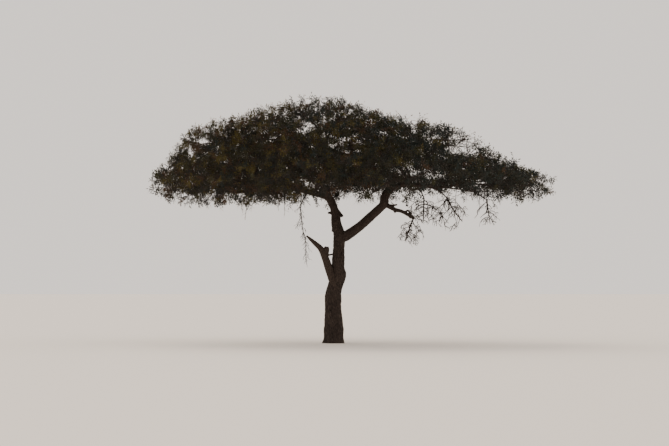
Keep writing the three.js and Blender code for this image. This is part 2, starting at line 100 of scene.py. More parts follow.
# A limb's root swells by this share of its radius, unless it says otherwise.
ROOT_FLARE = 0.28
UP = np.array([0.0, 0.0, 1.0])
TURN = 2 * math.pi

# The seeds of the scene's own draws: the fine tips, the crown's wood and sprays, their looks, the first spray
# shape, and the bare twigs.
TIPS_SEED = 7
CROWN_SEED = 11
LOOKS_SEED = 23
SPRAY_SEED = 50
BARE_SEED = 31

# Where the front view shows light through the crown: the middle and half size of each opening as it appears
# on the plane of the trunk, the share of the sprays there that is missing, and the share bare of leaves.
OPENINGS = [
    ((-5.00, 7.66), (0.34, 0.15), 1.0, 0.0),
    ((-5.45, 7.25), (0.15, 0.22), 0.9, 0.8),
    ((-2.32, 7.75), (0.17, 0.11), 0.96, 0.8),
    ((-1.17, 6.18), (0.22, 0.10), 0.95, 0.0),
    ((-0.92, 6.04), (0.20, 0.12), 0.95, 0.0),
    ((-1.12, 8.25), (0.45, 0.35), 0.5, 0.3),
    ((-0.87, 8.18), (0.22, 0.13), 0.9, 0.8),
    ((-0.85, 7.47), (0.16, 0.11), 0.96, 0.8),
    ((-0.30, 8.50), (0.24, 0.14), 0.75, 0.6),
    ((-0.30, 7.85), (0.30, 0.16), 0.6, 0.3),
    ((-0.09, 7.50), (0.18, 0.12), 0.96, 0.8),
    ((0.25, 7.60), (0.26, 0.16), 0.6, 0.3),
    ((0.41, 7.78), (0.16, 0.11), 0.9, 0.8),
    ((0.59, 7.25), (0.18, 0.12), 0.96, 0.8),
    ((0.75, 7.72), (0.45, 0.20), 0.6, 0.3),
    ((0.95, 7.29), (0.16, 0.1), 0.96, 0.8),
    ((1.88, 7.98), (0.16, 0.11), 0.9, 0.8),
    ((2.70, 6.55), (0.36, 0.36), 0.55, 0.2),
    ((2.98, 8.05), (0.20, 0.13), 0.8, 0.8),
    ((3.74, 6.42), (0.42, 0.20), 0.7, 0.3),
    ((4.40, 5.95), (0.17, 0.11), 0.9, 0.8),
    ((4.96, 7.50), (0.75, 0.42), 0.3, 0.9),
    ((5.55, 6.10), (0.26, 0.14), 0.95, 0.3),
]

# The camera of the front view, at a standing height far in front of the tree.
EYE = (0.02, -70.6, 2.0)
AIM_HEIGHT = 4.56
LENS_MM = 100
SENSOR_MM = 36


def linear(colour):
    """An sRGB hex colour as linear red, green and blue."""
    parts = [int(colour[i : i + 2], 16) / 255 for i in (1, 3, 5)]
    return tuple(c / 12.92 if c <= 0.04045 else ((c + 0.055) / 1.055) ** 2.4 for c in parts)


def lerp(low, high, share):
    return low + (high - low) * share


def seeded(seed):
    """The source's small linear congruential generator."""
    factor, step, states = 1664525, 1013904223, 2**32
    state = seed

    def draw(low=0.0, high=1.0):
        nonlocal state
        state = (state * factor + step) % states
        return low + (high - low) * state / states

    return draw


def unit(vectors):
    return vectors / np.linalg.norm(vectors, axis=-1, keepdims=True)


class Path:
    """A smooth line through stations, read by the share of its length."""

    SAMPLES = 201
    TANGENT_STEP = 0.002
    NEAREST_SAMPLES = 21

    def __init__(self, stations):
        ends = np.array(stations, float)
        self.knots = np.vstack([2 * ends[0] - ends[1], ends, 2 * ends[-1] - ends[-2]])
        self.times = np.linspace(0, 1, self.SAMPLES)
        steps = np.linalg.norm(np.diff(self.curve(self.times), axis=0), axis=1)
        self.lengths = np.concatenate([[0], np.cumsum(steps)])
        self.length = self.lengths[-1]

    def curve(self, time):
        place = np.clip(time, 0, 1) * (len(self.knots) - 3)
        first = np.minimum(place.astype(int), len(self.knots) - 4)
        share = (place - first)[:, None]
        before, start, end, after = (self.knots[first + k] for k in range(4))
        leaving = (end - before) / 2
        arriving = (after - start) / 2
        bend = 3 * (end - start) - 2 * leaving - arriving
        return start + share * (leaving + share * (bend + share * (2 * (start - end) + leaving + arriving)))

    def at(self, shares):
        many = np.atleast_1d(np.asarray(shares, float))
        points = self.curve(np.interp(many * self.length, self.lengths, self.times))
        return points if np.ndim(shares) else points[0]

    def tangent(self, shares):
        many = np.atleast_1d(np.asarray(shares, float))
        step = self.TANGENT_STEP
        ahead = self.at(np.minimum(many + step, 1)) - self.at(np.maximum(many - step, 0))
        return unit(ahead) if np.ndim(shares) else unit(ahead)[0]

    def nearest(self, point):
        shares = np.linspace(0, 1, self.NEAREST_SAMPLES)
        return shares[np.argmin(np.linalg.norm(self.at(shares) - point, axis=1))]


class Limb:
    """A tapering limb with a flared collar at its root. Its bend says how late along it the taper comes:
    at 1 it tapers evenly, and above 1 it stays thick for longer."""

    def __init__(self, stations, radii, flare=ROOT_FLARE, bend=0.8):
        self.path = Path(stations)
        self.root, self.tip = radii
        self.flare = flare
        self.bend = bend

    def radius(self, shares, angles=0.0):
        collar = np.exp(-shares * self.path.length / (2 * self.root))
        return lerp(self.root, self.tip, shares**self.bend) + self.flare * self.root * collar


class Trunk(Limb):
    """The trunk, with its sections' radii at given heights and its foot swollen into buttresses."""

    STATIONS = [
        ((0, 0, -0.12), 0.352),
        ((0, 0, 0.4), 0.334),
        ((-0.036, 0.05, 1.65), 0.298),
        ((0.027, 0.07, 2.1), 0.277),
        ((0.185, 0.06, 2.55), 0.262),
        ((0.161, 0.03, 2.95), 0.224),
        ((0.205, -0.02, 4.06), 0.200),
    ]
    BUTTRESSES = 5
    BUTTRESS_SHARE = 0.6
    SWELL = 0.2
    FLARE_HEIGHT = 0.33

    def __init__(self):
        super().__init__([place for place, _ in self.STATIONS], (self.STATIONS[0][1], self.STATIONS[-1][1]))
        self.heights = np.array([place[2] for place, _ in self.STATIONS])
        self.radii = np.array([radius for _, radius in self.STATIONS])

    def radius(self, shares, angles=0.0):
        height = np.clip(self.path.at(np.ravel(shares))[:, 2], self.heights[0], self.heights[-1])
        low = np.clip(np.searchsorted(self.heights, height) - 1, 0, len(self.heights) - 2)
        share = (height - self.heights[low]) / (self.heights[low + 1] - self.heights[low])
        plain = lerp(self.radii[low], self.radii[low + 1], share * share * (3 - 2 * share))
        swell = np.exp(-np.maximum(height, 0) / self.FLARE_HEIGHT)
        buttress = 1 - self.BUTTRESS_SHARE * np.cos(self.BUTTRESSES * np.ravel(angles))
        return (plain * (1 + self.SWELL * swell * buttress)).reshape(np.shape(shares))


# The limbs that the front view shows bare: their stations, their radii at root and tip, and where they differ
# from the usual limb their flare and their bend.
MAIN_LIMBS = {
    "broken_stub": (
        [
            (0.06, -0.04, 2.15),
            (-0.155, -0.085, 2.7),
            (-0.318, -0.115, 3.2),
            (-0.495, -0.135, 3.57),
            (-0.735, -0.15, 3.8),
            (-1.045, -0.17, 4.072),
        ],
        (0.136, 0.022),
        0.6,
        3.2,
    ),
    "leader": (
        [
            (0.205, -0.02, 4.06),
            (0.092, 0, 4.52),
            (0.046, 0.06, 4.96),
            (-0.08, 0.1, 5.34),
            (-0.27, 0.12, 5.64),
        ],
        (0.196, 0.128),
        0.04,
    ),
    "right_bough": (
        [
            (0.24, -0.04, 3.96),
            (0.48, -0.06, 4.08),
            (0.93, -0.13, 4.39),
            (1.31, -0.2, 4.72),
            (1.93, -0.25, 5.29),
        ],
        (0.172, 0.142),
        0.12,
    ),
    "right_riser": (
        [(1.9, -0.25, 5.26), (1.93, -0.24, 5.52), (2.09, -0.2, 5.79), (2.35, -0.15, 6.02)],
        (0.15, 0.118),
        0.06,
    ),
    "elbow_branch": (
        [
            (2, -0.26, 5.23),
            (2.31, -0.3, 5.06),
            (2.56, -0.33, 4.99),
            (2.8, -0.35, 4.86),
            (2.965, -0.35, 4.78),
            (3.015, -0.35, 4.69),
        ],
        (0.072, 0.044),
    ),
    "left_bough": (
        [
            (-0.215, 0.115, 5.56),
            (-0.64, 0.06, 5.68),
            (-1.1, 0, 5.79),
            (-1.57, -0.06, 5.94),
            (-2.05, -0.12, 6.05),
        ],
        (0.122, 0.084),
        0.05,
    ),
    "crown_leader": (
        [(-0.23, 0.118, 5.56), (-0.44, 0.15, 6.08), (-0.33, 0.06, 6.7), (-0.48, 0.09, 7.42)],
        (0.112, 0.062),
        0.1,
    ),
}


def reach_at(heading):
    """How far the crown reaches from its axis in a direction, in radians from +X towards +Y."""
    side = np.where(np.cos(heading) > 0, REACH_RIGHT, REACH_LEFT)
    return 1 / np.hypot(np.cos(heading) / side, np.sin(heading) / REACH_DEPTH)


def blended(left, right, heading, share):
    """A height read off the stations of both sides."""
    low = np.interp(share, *zip(*left))
    return lerp(low, np.interp(share, *zip(*right)), (1 + np.cos(heading)) / 2)


def top_at(heading, share):
    return blended(TOP_LEFT, TOP_RIGHT, heading, share)


def floor_at(heading, share):
    tilt = FLOOR_TILT * reach_at(heading) * share * np.sin(heading)
    return blended(FLOOR_LEFT, FLOOR_RIGHT, heading, share) + tilt


def crown_place(points):
    """Each point's share of the crown's reach, and its heights above the floor and below the top."""
    offset = points[..., :2] - CROWN_AXIS
    heading = np.arctan2(offset[..., 1], offset[..., 0])
    share = np.hypot(offset[..., 0], offset[..., 1]) / reach_at(heading)
    above = points[..., 2] - floor_at(heading, share)
    return share, above, top_at(heading, share) - points[..., 2]


def inside_crown(points):
    share, above, below = crown_place(points)
    return (share < 1) & (above > 0) & (below > 0)


class Space:
    """The space of one mass, with its own outward and sideways directions in plan."""

    def __init__(self, name, centre, heading, half, lead=None):
        self.name = name
        self.centre = np.array(centre, float)
        self.half = np.array(half, float)
        self.axes = np.array(
            [
                [math.cos(heading), math.sin(heading), 0],
                [-math.sin(heading), math.cos(heading), 0],
                [0, 0, 1],
            ]
        )
        self.bare = lead is not None
        self.lead = np.array(lead, float) if self.bare else self.axes[0]

    def at(self, shares):
        return self.centre + (np.asarray(shares) * self.half) @ self.axes

    def contains(self, points):
        if not self.bare:
            return inside_crown(points)
        offset = (points - self.centre) @ self.axes.T / self.half
        return (offset**2).sum(axis=-1) < 1


def tier_spaces(name, tier):
    """The spaces of one tier's masses, closer together on the right, where the crown reaches further."""
    spaces = []
    for i in range(tier["count"]):
        turn = math.radians(tier["turn"] + 360 / tier["count"] * i)
        heading = turn - RIGHT_CROWDING * math.sin(turn)
        share = lerp(tier["share_left"], tier["share"], (1 + math.cos(heading)) / 2)
        radius = float(reach_at(heading)) * share
        top = min(float(top_at(heading, share)), tier["roof"])
        floor = float(floor_at(heading, share))
        centre = (
            CROWN_AXIS[0] + radius * math.cos(heading),
            CROWN_AXIS[1] + radius * math.sin(heading),
            lerp(floor, top, tier["rise"]),
        )
        half = (reach_at(heading) * tier["half"], math.pi * radius / tier["count"], top - centre[2])
        spaces.append(Space(f"{name}_{i + 1}", centre, heading, half))
    return spaces


PADS = {
    "rim": tier_spaces("rim_foliage", RIM),
    "upper": tier_spaces("upper_foliage", UPPER),
    "summit": tier_spaces("summit_foliage", SUMMIT),
}
BARE_SPACES = [
    Space("elbow_twigs", (2.9, -0.35, 4.15), 0, (0.53, 0.42, 0.5), (-0.15, 0, -1)),
    Space("drooping_twigs_1", (4.28, -0.26, 4.88), 0, (0.86, 0.65, 0.7), (0.7, 0, -0.7)),
    Space("drooping_twigs_2", (3.45, 0.33, 5.0), 0, (0.62, 0.56, 0.56), (0.3, 0.3, -0.9)),
    Space("drooping_twigs_3", (5.85, 0.2, 4.92), 0, (0.42, 0.42, 0.58), (0.3, 0, -0.9)),
]
SPACES = [*PADS["rim"], *PADS["upper"], *PADS["summit"], *BARE_SPACES]
CELL_SCALE = np.array([1, 1, FLATNESS])
CELL_CENTRES = np.array([space.centre for space in SPACES]) * CELL_SCALE


def cell_distances(points):
    return np.linalg.norm(points[:, None] * CELL_SCALE - CELL_CENTRES, axis=-1)


def inside_space(points, space):
    """A mass keeps to its space, and to the part of it that is nearer to its own centre than to any other."""
    distances = cell_distances(points)
    own = SPACES.index(space)
    others = np.delete(distances, own, axis=1).min(axis=1)
    return space.contains(points) & (others > distances[:, own] + MASS_CLEARANCE)


# A bough's two bends: where they lie, as shares of its run from its root and from its end, how far they are
# thrown aside and up or down, and how far the first one is lifted. Then how high in its space a drooping
# bough ends, as a share of the half size, and its arch in metres.
BOUGH_BENDS = (0.3, 0.33)
BOUGH_ASIDE = 0.07
BOUGH_RISE = 0.03
BOUGH_LIFT = 0.05
DROOP_END = 0.9
DROOP_ARCH = 0.06


def bough_between(parent, share, pad, tier, number):
    """A crooked bough from a parent limb to the inner side of a mass, thrown off line by the seeded rule."""
    random = seeded(tier["seed"] + number)
    start = parent.path.at(share)
    target = pad.at((-tier["inward"], 0, -tier["drop"]))
    run = target - start
    length = np.linalg.norm(run)
    across = unit(np.array([-run[1], run[0], 0]))
    aim = unit(unit(run) + unit(pad.centre - target))

    def thrown(point, lift):
        aside = across * length * random(-BOUGH_ASIDE, BOUGH_ASIDE)
        return point + aside + UP * length * (lift + random(-BOUGH_RISE, BOUGH_RISE))

    after_root, before_end = BOUGH_BENDS
    first = thrown(start + after_root * run, BOUGH_LIFT)
    second = thrown(target - before_end * length * aim, 0)
    return Limb([start, first, second, target], tier["radii"])


def droop_between(parent, share, space, radii):
    """A slightly arched bough from a parent limb to the top of a space of bare twigs."""
    start = parent.path.at(share)
    target = space.at((0, 0, DROOP_END))
    return Limb([start, (start + target) / 2 + DROOP_ARCH * UP, target], radii)


# Where boughs leave their carriers, as shares of the carrier's length. The rim's leave in turn at four
# places, the first and the step to the next, and the summit's at three. An upper one leaves so far back from
# the place that is nearest to its mass, within limits.
RIM_LEAVES, RIM_STEP, RIM_PLACES = 0.76, 0.07, 4
SUMMIT_LEAVES, SUMMIT_STEP = 0.62, 0.17
UPPER_BACK = 0.4
UPPER_LEAVES = (0.14, 0.5)
# The boughs of the bare twigs: the share of the right rim bough where each leaves it, and its radii.
DROOPING_BOUGHS = [(0.6, (0.036, 0.022)), (0.36, (0.034, 0.020)), (0.96, (0.030, 0.018))]
# The long thin dead twig that hangs down on the left: where it leaves the left bough, its x and z down its
# length, and its radii.
HOOK_SHARE = 0.42
HANGING_TWIG = [(-1.27, 5.23), (-1.24, 4.86), (-1.186, 4.33), (-1.079, 3.876), (-1.064, 3.154)]
HANGING_RADII = (0.026, 0.009)


@functools.cache
def all_limbs():
    """Every limb by name, in the order in which one carries the next."""
    limbs = {"trunk": Trunk()}
    for name, shape in MAIN_LIMBS.items():
        limbs[name] = Limb(*shape)
    for i, pad in enumerate(PADS["rim"]):
        x = pad.centre[0]
        parent = "right_riser" if x > PARTING else "left_bough" if x < -PARTING else "leader"
        share = RIM_LEAVES + RIM_STEP * (i % RIM_PLACES)
        limbs[f"rim_bough_{i + 1}"] = bough_between(limbs[parent], share, pad, RIM_BOUGHS, i)
    for i, pad in enumerate(PADS["upper"]):
        gaps = [np.linalg.norm(other.centre - pad.centre) for other in PADS["rim"]]
        parent = limbs[f"rim_bough_{int(np.argmin(gaps)) + 1}"]
        least, most = UPPER_LEAVES
        share = min(max(parent.path.nearest(pad.centre) - UPPER_BACK, least), most)
        limbs[f"upper_bough_{i + 1}"] = bough_between(parent, share, pad, UPPER_BOUGHS, i)
    for i, pad in enumerate(PADS["summit"]):
        share = SUMMIT_LEAVES + SUMMIT_STEP * i
        limbs[f"summit_bough_{i + 1}"] = bough_between(limbs["crown_leader"], share, pad, SUMMIT_BOUGHS, i)
    for i, (share, radii) in enumerate(DROOPING_BOUGHS, start=1):
        limbs[f"drooping_bough_{i}"] = droop_between(limbs["rim_bough_1"], share, BARE_SPACES[i], radii)
    hook = limbs["left_bough"].path.at(HOOK_SHARE)
    fall = [(x, hook[1], z) for x, z in HANGING_TWIG]
    limbs["hanging_twig"] = Limb([hook, *fall], HANGING_RADII)
    return limbs


def spread_tips(space, start, random):
    """The first twig tips of a mass: the outermost, then each time the one furthest from all so far."""
    level, upright = BARE_TIP_ROOM if space.bare else TIP_ROOM
    throws = [[random(-SCATTER, SCATTER) for _ in range(3)] for _ in range(TIP_CANDIDATES)]
    points = space.at(throws)
    steps = np.array([[level, 0, 0], [0, level, 0], [0, 0, upright]])
    has_room = np.all([inside_space(points + way * step, space) for step in steps for way in (1, -1)], axis=0)
    free = points[has_room]
    room = np.prod(space.half) * (2 * SCATTER) ** 3 * len(free) / TIP_CANDIDATES
    count = BARE_TIPS if space.bare else min(max(round(room / ROOM_PER_TIP), TIPS[0]), TIPS[1])
    tips = [free[np.argmax(free @ space.lead)]]
    while len(tips) < count:
        apart = [np.linalg.norm((free - other) * CELL_SCALE, axis=1) for other in [start, *tips]]
        tips.append(free[np.argmax(np.min(apart, axis=0))])
    return tips


class Wood:
    """The twigs of one mass, kept as tubes with rings at the same shares of their lengths, and as nodes that
    finer twigs can leave. The last stretch of a tube, which comes to a point, is short."""

    RINGS = np.array([0, 0.3, 0.6, 0.93, 1])
    CROOK = 0.035
    THINNING = 0.6
    # A twig's nodes: the share where they start, their spacing and their least number.
    FIRST_NODE = 0.1
    NODE_SPACING = 0.12
    FEWEST_NODES = 3
    # How much a node that leads the right way is preferred, where a new twig bends, how far it keeps the
    # node's way, and how much wider than its tip its root is at least.
    LEANING = 1.7
    BEND_AT = 0.45
    FOLLOWING = 0.12
    TAPER = 1.3

    def __init__(self, random):
        self.random = random
        self.tubes = []
        self.nodes = np.zeros((0, 3))
        self.ways = np.zeros((0, 3))
        self.girths = np.zeros(0)

    def add(self, stations, root, tip, crook=0.0):
        """A twig through stations, thrown off line between its ends by a share of its length."""
        smooth = Path(stations)
        rings = smooth.at(self.RINGS)
        rings[1:-1] += self.random.normal(size=(len(rings) - 2, 3)) * crook * smooth.length
        path = Path(rings)
        self.tubes.append((rings, lerp(root, tip, self.RINGS)))
        count = max(int(path.length / self.NODE_SPACING), self.FEWEST_NODES)
        steps = np.linspace(self.FIRST_NODE, 1, count)
        self.nodes = np.vstack([self.nodes, path.at(steps)])
        self.ways = np.vstack([self.ways, path.tangent(steps)])
        self.girths = np.concatenate([self.girths, lerp(root, tip, steps)])
        return path

    def grow_to(self, tip, rise, tip_radius):
        """A finer twig from the node that leads towards a tip best, arched by a share of its length."""
        reach = tip - self.nodes
        distance = np.linalg.norm(reach, axis=1) + 1e-6
        leading = (reach * self.ways).sum(axis=1) / distance
        best = int(np.argmin(distance * (self.LEANING - leading)))
        node, way = self.nodes[best], self.ways[best]
        middle = lerp(node, tip, self.BEND_AT)
        bend = middle + way * distance[best] * self.FOLLOWING + UP * distance[best] * rise
        root = max(self.girths[best] * self.THINNING, tip_radius * self.TAPER)
        return self.add([node, bend, tip], root, tip_radius, self.CROOK)

    def mesh(self, sides):
        paths = np.array([rings for rings, _ in self.tubes])
        radii = np.array([girths for _, girths in self.tubes])
        return tubes(paths, radii, sides)


# The fine tips of the foliage lie on a lattice from a given height up, each thrown off its place by up to the
# given share of a step. They keep clear of the crown's floor and top by the sprays that stand on them.
LATTICE_STEP = np.array([0.45, 0.45, 0.25])
LATTICE_THROW = 0.48
LATTICE_FLOOR = 5.0
TIP_INSET = (0.16, 0.28)
# Limits of the reach, of the fine tips and of the leaves, to the front and the back and to the two ends.
TIP_SHARE = (0.95, 0.985)
LEAF_SHARE = (0.985, 1.005)
# How far leaves stay under the crown's top, the height that no spray passes, and how far bare sprays and
# fringes may pass the top and the floor.
LEAF_TOP = 0.14
HIGHEST_LEAF = 9.36
OVERSHOOT_TOP = 0.1
OVERSHOOT_FLOOR = 0.3
# How far the underside hangs lower than its floor, in uneven swags: on average, and the rise and fall round
# that. Two waves make it: each one's share, its radians for a metre to the right and a metre to the back, and
# its start.
SWAG = (0.07, 0.2)
SWAG_WAVES = [(0.6, 3.7, 0.5, 0), (0.4, 8.3, -0.9, 1.3)]
# The radii of a fine twig's tip, of a wisp's two ends and of a twiglet's two ends. Then the part of a twig
# that has twiglets, their spacing and their lengths.
FINE_TIP = 0.006
WISP_RADII = (0.012, 0.007)
TWIGLET_RADII = (0.006, 0.0045)
TWIGLET_PART = (0.35, 0.94)
TWIGLET_STEP = 0.08
TWIGLET_LENGTHS = (0.07, 0.2)
# A twiglet's turn from its twig and its drop below the level, in degrees, and its arch. A twig shorter than
# this has twiglets spaced as on one of this length.
TWIGLET_TURN = (-70, 70)
TWIGLET_DROP = (-75, -15)
TWIGLET_ARCH = 0.012
SHORT_TWIG = 0.2
# The arch of a fine twig and of the twig that carries a wisp, as shares of their lengths, and how far a
# wisp's upper end and its middle are thrown.
FINE_ARCH = (0.0, 0.12)
WISP_ARCH = 0.1
WISP_THROWS = (0.05, 0.02)
# The ends of long thin twigs that hang below the crown, from inside it at a given height.
WISP_HOOK = 5.75
WISPS = [
    (-3.29, -1.4, 4.60),
    (-3.42, -1.5, 4.86),
    (-1.90, -1.0, 4.82),
    (-2.06, -1.1, 4.98),
    (-4.40, -1.8, 5.06),
    (-5.05, -1.2, 5.14),
    (4.55, -0.9, 5.20),
    (5.15, -1.4, 5.34),
    (5.50, -0.6, 5.06),
    (6.20, -1.1, 5.20),
    (7.15, -0.8, 5.24),
    (7.55, -0.3, 5.28),
]
# How deep the crown's shell is, and the share of the lattice's tips that grows inside it, near its
# underside, near its top, and at its two ends, which start and are complete at given shares of the reach.
SHELL = 0.5
INNER_SHARE = 0.57
UNDERSIDE_SHARE = 0.56
TOP_SHARE = 1.0
END_FROM, END_TO = 0.62, 0.85
END_SHARES = (0.78, 1.0)


def level_x(points):
    """How far a point's heading from the crown's axis leans to the left or the right, from 0 to 1."""
    offset = points[..., :2] - CROWN_AXIS
    return np.abs(offset[..., 0]) / (np.linalg.norm(offset, axis=-1) + 1e-6)


def well_inside(points, share_limits, above_floor, below_top):
    """Which points lie inside the crown by given margins, with limits of the reach for sides and ends."""
    share, above, below = crown_place(points)
    limit = lerp(*share_limits, level_x(points) ** 2)
    return (share < limit) & (above > above_floor) & (below > below_top)


def swag_at(points):
    """How far the underside hangs lower than its floor at each place."""
    x, y = points[..., 0], points[..., 1]
    waves = sum(share * np.sin(along * x + back * y + start) for share, along, back, start in SWAG_WAVES)
    return SWAG[0] + SWAG[1] * waves


def crowding(points):
    """The share of the lattice's tips that grows at each place: the leaves crowd where the light is."""
    share, above, below = crown_place(points)
    crowd = np.where(above < SHELL, UNDERSIDE_SHARE, INNER_SHARE)
    crowd = np.where(below < SHELL, TOP_SHARE, crowd)
    end = np.clip((share * level_x(points) - END_FROM) / (END_TO - END_FROM), 0, 1)
    left, right = END_SHARES
    return lerp(crowd, np.where(points[..., 0] < CROWN_AXIS[0], left, right), end)


@functools.cache
def fine_tips():
    """Evenly spread fine tips for the whole crown, and the mass that each belongs to."""
    random = np.random.default_rng(TIPS_SEED)
    low = np.array([CROWN_AXIS[0] - REACH_LEFT, CROWN_AXIS[1] - REACH_DEPTH, LATTICE_FLOOR])
    high = np.array([CROWN_AXIS[0] + REACH_RIGHT, CROWN_AXIS[1] + REACH_DEPTH, CROWN_TOP])
    counts = ((high - low) / LATTICE_STEP).astype(int) + 1
    lattice = np.stack(np.meshgrid(*[np.arange(n) for n in counts], indexing="ij"), axis=-1).reshape(-1, 3)
    # Every other layer lies half a step aside.
    offset = lattice + 0.5 * (lattice[:, 2:] % 2) * np.array([1, 1, 0])
    thrown = offset + random.uniform(-LATTICE_THROW, LATTICE_THROW, offset.shape)
    points = low + thrown * LATTICE_STEP
    points = points[well_inside(points, TIP_SHARE, *TIP_INSET)]
    points = points[random.uniform(size=len(points)) < crowding(points)]
    return points, cell_distances(points)[:, : -len(BARE_SPACES)].argmin(axis=1)


# How far inside its bough's end a stem starts, the radii of the stems and the twig tips of bare and of leafy
# masses, and the first twigs' share of the stem's girth and how crooked they are.
STEM_INSET = 0.03
BARE_STEM_RADII = (0.030, 0.013)
LEAFY_STEM_TIP = 0.018
FIRST_TIPS = (0.008, 0.01)
FIRST_GIRTH = 0.62
FIRST_CROOK = 0.03
# How far a stem's middle is thrown up or down. How far back from the place nearest to its tip a first twig
# leaves the stem, the least share where it does, and its arch.
STEM_THROW = 0.1
FIRST_BACK = (0.15, 0.3)
FIRST_LEAVES = 0.08
FIRST_ARCH = (0.02, 0.1)


def first_wood(space, bough, chance):
    """The stem and the first twigs of a mass, grown by the source's rule."""
    first_seed, seed_step = MASS_SEEDS
    random = seeded(first_seed + seed_step * SPACES.index(space))
    start = bough.path.at(1 - STEM_INSET / bough.path.length)
    stem_tip, *tips = spread_tips(space, start, random)
    middle = (start + stem_tip) / 2 + UP * space.half[2] * random(-STEM_THROW, STEM_THROW)
    stem_radii = BARE_STEM_RADII if space.bare else (bough.tip, LEAFY_STEM_TIP)
    twig_tip = FIRST_TIPS[0] if space.bare else FIRST_TIPS[1]
    wood = Wood(chance)
    stem = wood.add([start, middle, stem_tip], *stem_radii)
    for tip in tips:
        share = max(FIRST_LEAVES, stem.nearest(tip) - random(*FIRST_BACK))
        node = stem.at(share)
        bend = (node + tip) / 2 + UP * np.linalg.norm(tip - node) * random(*FIRST_ARCH)
        girth = lerp(*stem_radii, share) * FIRST_GIRTH
        wood.add([node, bend, tip], girth, twig_tip, FIRST_CROOK)
    return wood


class Sprays:
    """Where sprays stand: their roots, directions, rolls, sizes, kinds and the mass each belongs to."""

    def __init__(self):
        self.rows = []

    def add(self, root, direction, roll, size, kind, mass):
        self.rows.append((*root, *direction, roll, size, kind, mass))

    def arrays(self):
        table = np.array(self.rows)
        kinds, masses = table[:, 8].astype(int), table[:, 9].astype(int)
        return table[:, :3], unit(table[:, 3:6]), table[:, 6], table[:, 7], kinds, masses


def add_twiglets(wood, twig, random):
    """Short drooping twiglets on the outer part of a twig, in a loose comb."""
    for share in np.arange(*TWIGLET_PART, TWIGLET_STEP / max(twig.length, SHORT_TWIG)):
        way = turned(twig.tangent(share), random.uniform(*TWIGLET_TURN), random.uniform(*TWIGLET_DROP))
        root = twig.at(share)
        tip = root + way * random.uniform(*TWIGLET_LENGTHS)
        path = Path([root, (root + tip) / 2 + UP * TWIGLET_ARCH, tip])
        wood.tubes.append((path.at(Wood.RINGS), lerp(*TWIGLET_RADII, Wood.RINGS)))


# The kinds of spray. Then for each kind its length and its wood's thickness as shares of the usual ones, the
# number of its side twigs and of the leaves on each, and the number of its tufts and of the leaves in each.
LEAFY, SPARSE, SPIKE, FRINGE = range(4)
SPRAY_LENGTHS = np.array([1.0, 1.1, 1.25, 1.5])
SPRAY_THICKNESS = (1.0, 1.1, 1.9, 1.7)
SIDE_TWIGS = (3, 3, 2, 3)
SIDE_LEAVES = (4, 3, 1, 0)
TUFTS = ((5, 3), (4, 2), (2, 1), (0, 0))
# Shapes of each kind.
VARIANTS = 5


def turned(direction, swing, lift):
    """A direction turned by an angle in plan and lifted above the level, in degrees."""
    heading = math.atan2(direction[1], direction[0]) + math.radians(swing)
    level = math.cos(math.radians(lift))
    return np.array([math.cos(heading) * level, math.sin(heading) * level, math.sin(math.radians(lift))])


def in_opening(points, random):
    """Which sprays are missing and which are bare, where the front view shows light through the crown."""
    nearness = -EYE[1] / (points[:, 1] - EYE[1])
    across = EYE[0] + (points[:, 0] - EYE[0]) * nearness
    height = EYE[2] + (points[:, 2] - EYE[2]) * nearness
    gone = np.zeros(len(points), bool)
    bare = np.zeros(len(points), bool)
    for (x, z), (half_x, half_z), missing, leafless in OPENINGS:
        inside = ((across - x) / half_x) ** 2 + ((height - z) / half_z) ** 2 < 1
        gone |= inside & (random.uniform(size=len(points)) < missing)
        bare |= inside & (random.uniform(size=len(points)) < leafless)
    return gone, bare


@functools.cache
def grown_crown():
    """The wood of every foliage mass, and the sprays that stand on it."""
    random = np.random.default_rng(CROWN_SEED)
    limbs = all_limbs()
    tips, owners = fine_tips()
    woods, sprays = [], Sprays()
    foliage = SPACES[: -len(BARE_SPACES)]
    for mass, space in enumerate(foliage):
        bough = limbs[space.name.replace("foliage", "bough")]
        wood = first_wood(space, bough, random)
        own = tips[owners == mass]
        start = bough.path.at(1.0)
        for tip in own[np.argsort(np.linalg.norm(own - start, axis=1))]:
            twig = wood.grow_to(tip, random.uniform(*FINE_ARCH), FINE_TIP)
            stand_sprays(sprays, twig, mass, random)
        woods.append(wood)
    upper_throw, middle_throw = WISP_THROWS
    for wisp in np.array(WISPS):
        mass = cell_distances(wisp[None])[0, : len(foliage)].argmin()
        hook = wisp + UP * (WISP_HOOK - wisp[2]) + random.normal(size=3) * upper_throw
        woods[mass].grow_to(hook, WISP_ARCH, WISP_RADII[0])
        middle = (hook + wisp) / 2 + random.normal(size=3) * middle_throw
        stem = woods[mass].add([hook, middle, wisp], *WISP_RADII, FIRST_CROOK)
        add_twiglets(woods[mass], stem, random)
    return woods, sprays


# Sprays stand this far apart along a twig, on its outer part and not near its root.
SPRAY_STEP = 0.2
LEAFY_PART = 0.7
BARE_ROOT = 0.15
# How deep the crown's underside and its top are, and from which share of the reach its rim starts.
UNDERSIDE = 0.4
TOPSIDE = 0.45
RIM_SHARE = 0.9
# In degrees, how far a spray is turned from its twig, how far that wavers, and how far it is lifted above the
# level inside the crown, under it, and on its top and at its rim. Then its roll, and its size.
SPRAY_TURN = (30, 80)
SPRAY_WAVER = (-15, 15)
INNER_LIFT, UNDER_LIFT, TOP_LIFT = (-25, 45), (-85, 0), (-10, 75)
SPRAY_ROLL = (-0.7, 0.7)
SPRAY_SIZE = (0.8, 1.2)
# The kinds of spray under the crown, and on its top and at its rim, and how likely each one is.
UNDER_KINDS = dict(a=[LEAFY, SPARSE, FRINGE], p=[0.36, 0.32, 0.32])
TOP_KINDS = dict(a=[LEAFY, SPARSE, SPIKE], p=[0.72, 0.18, 0.1])


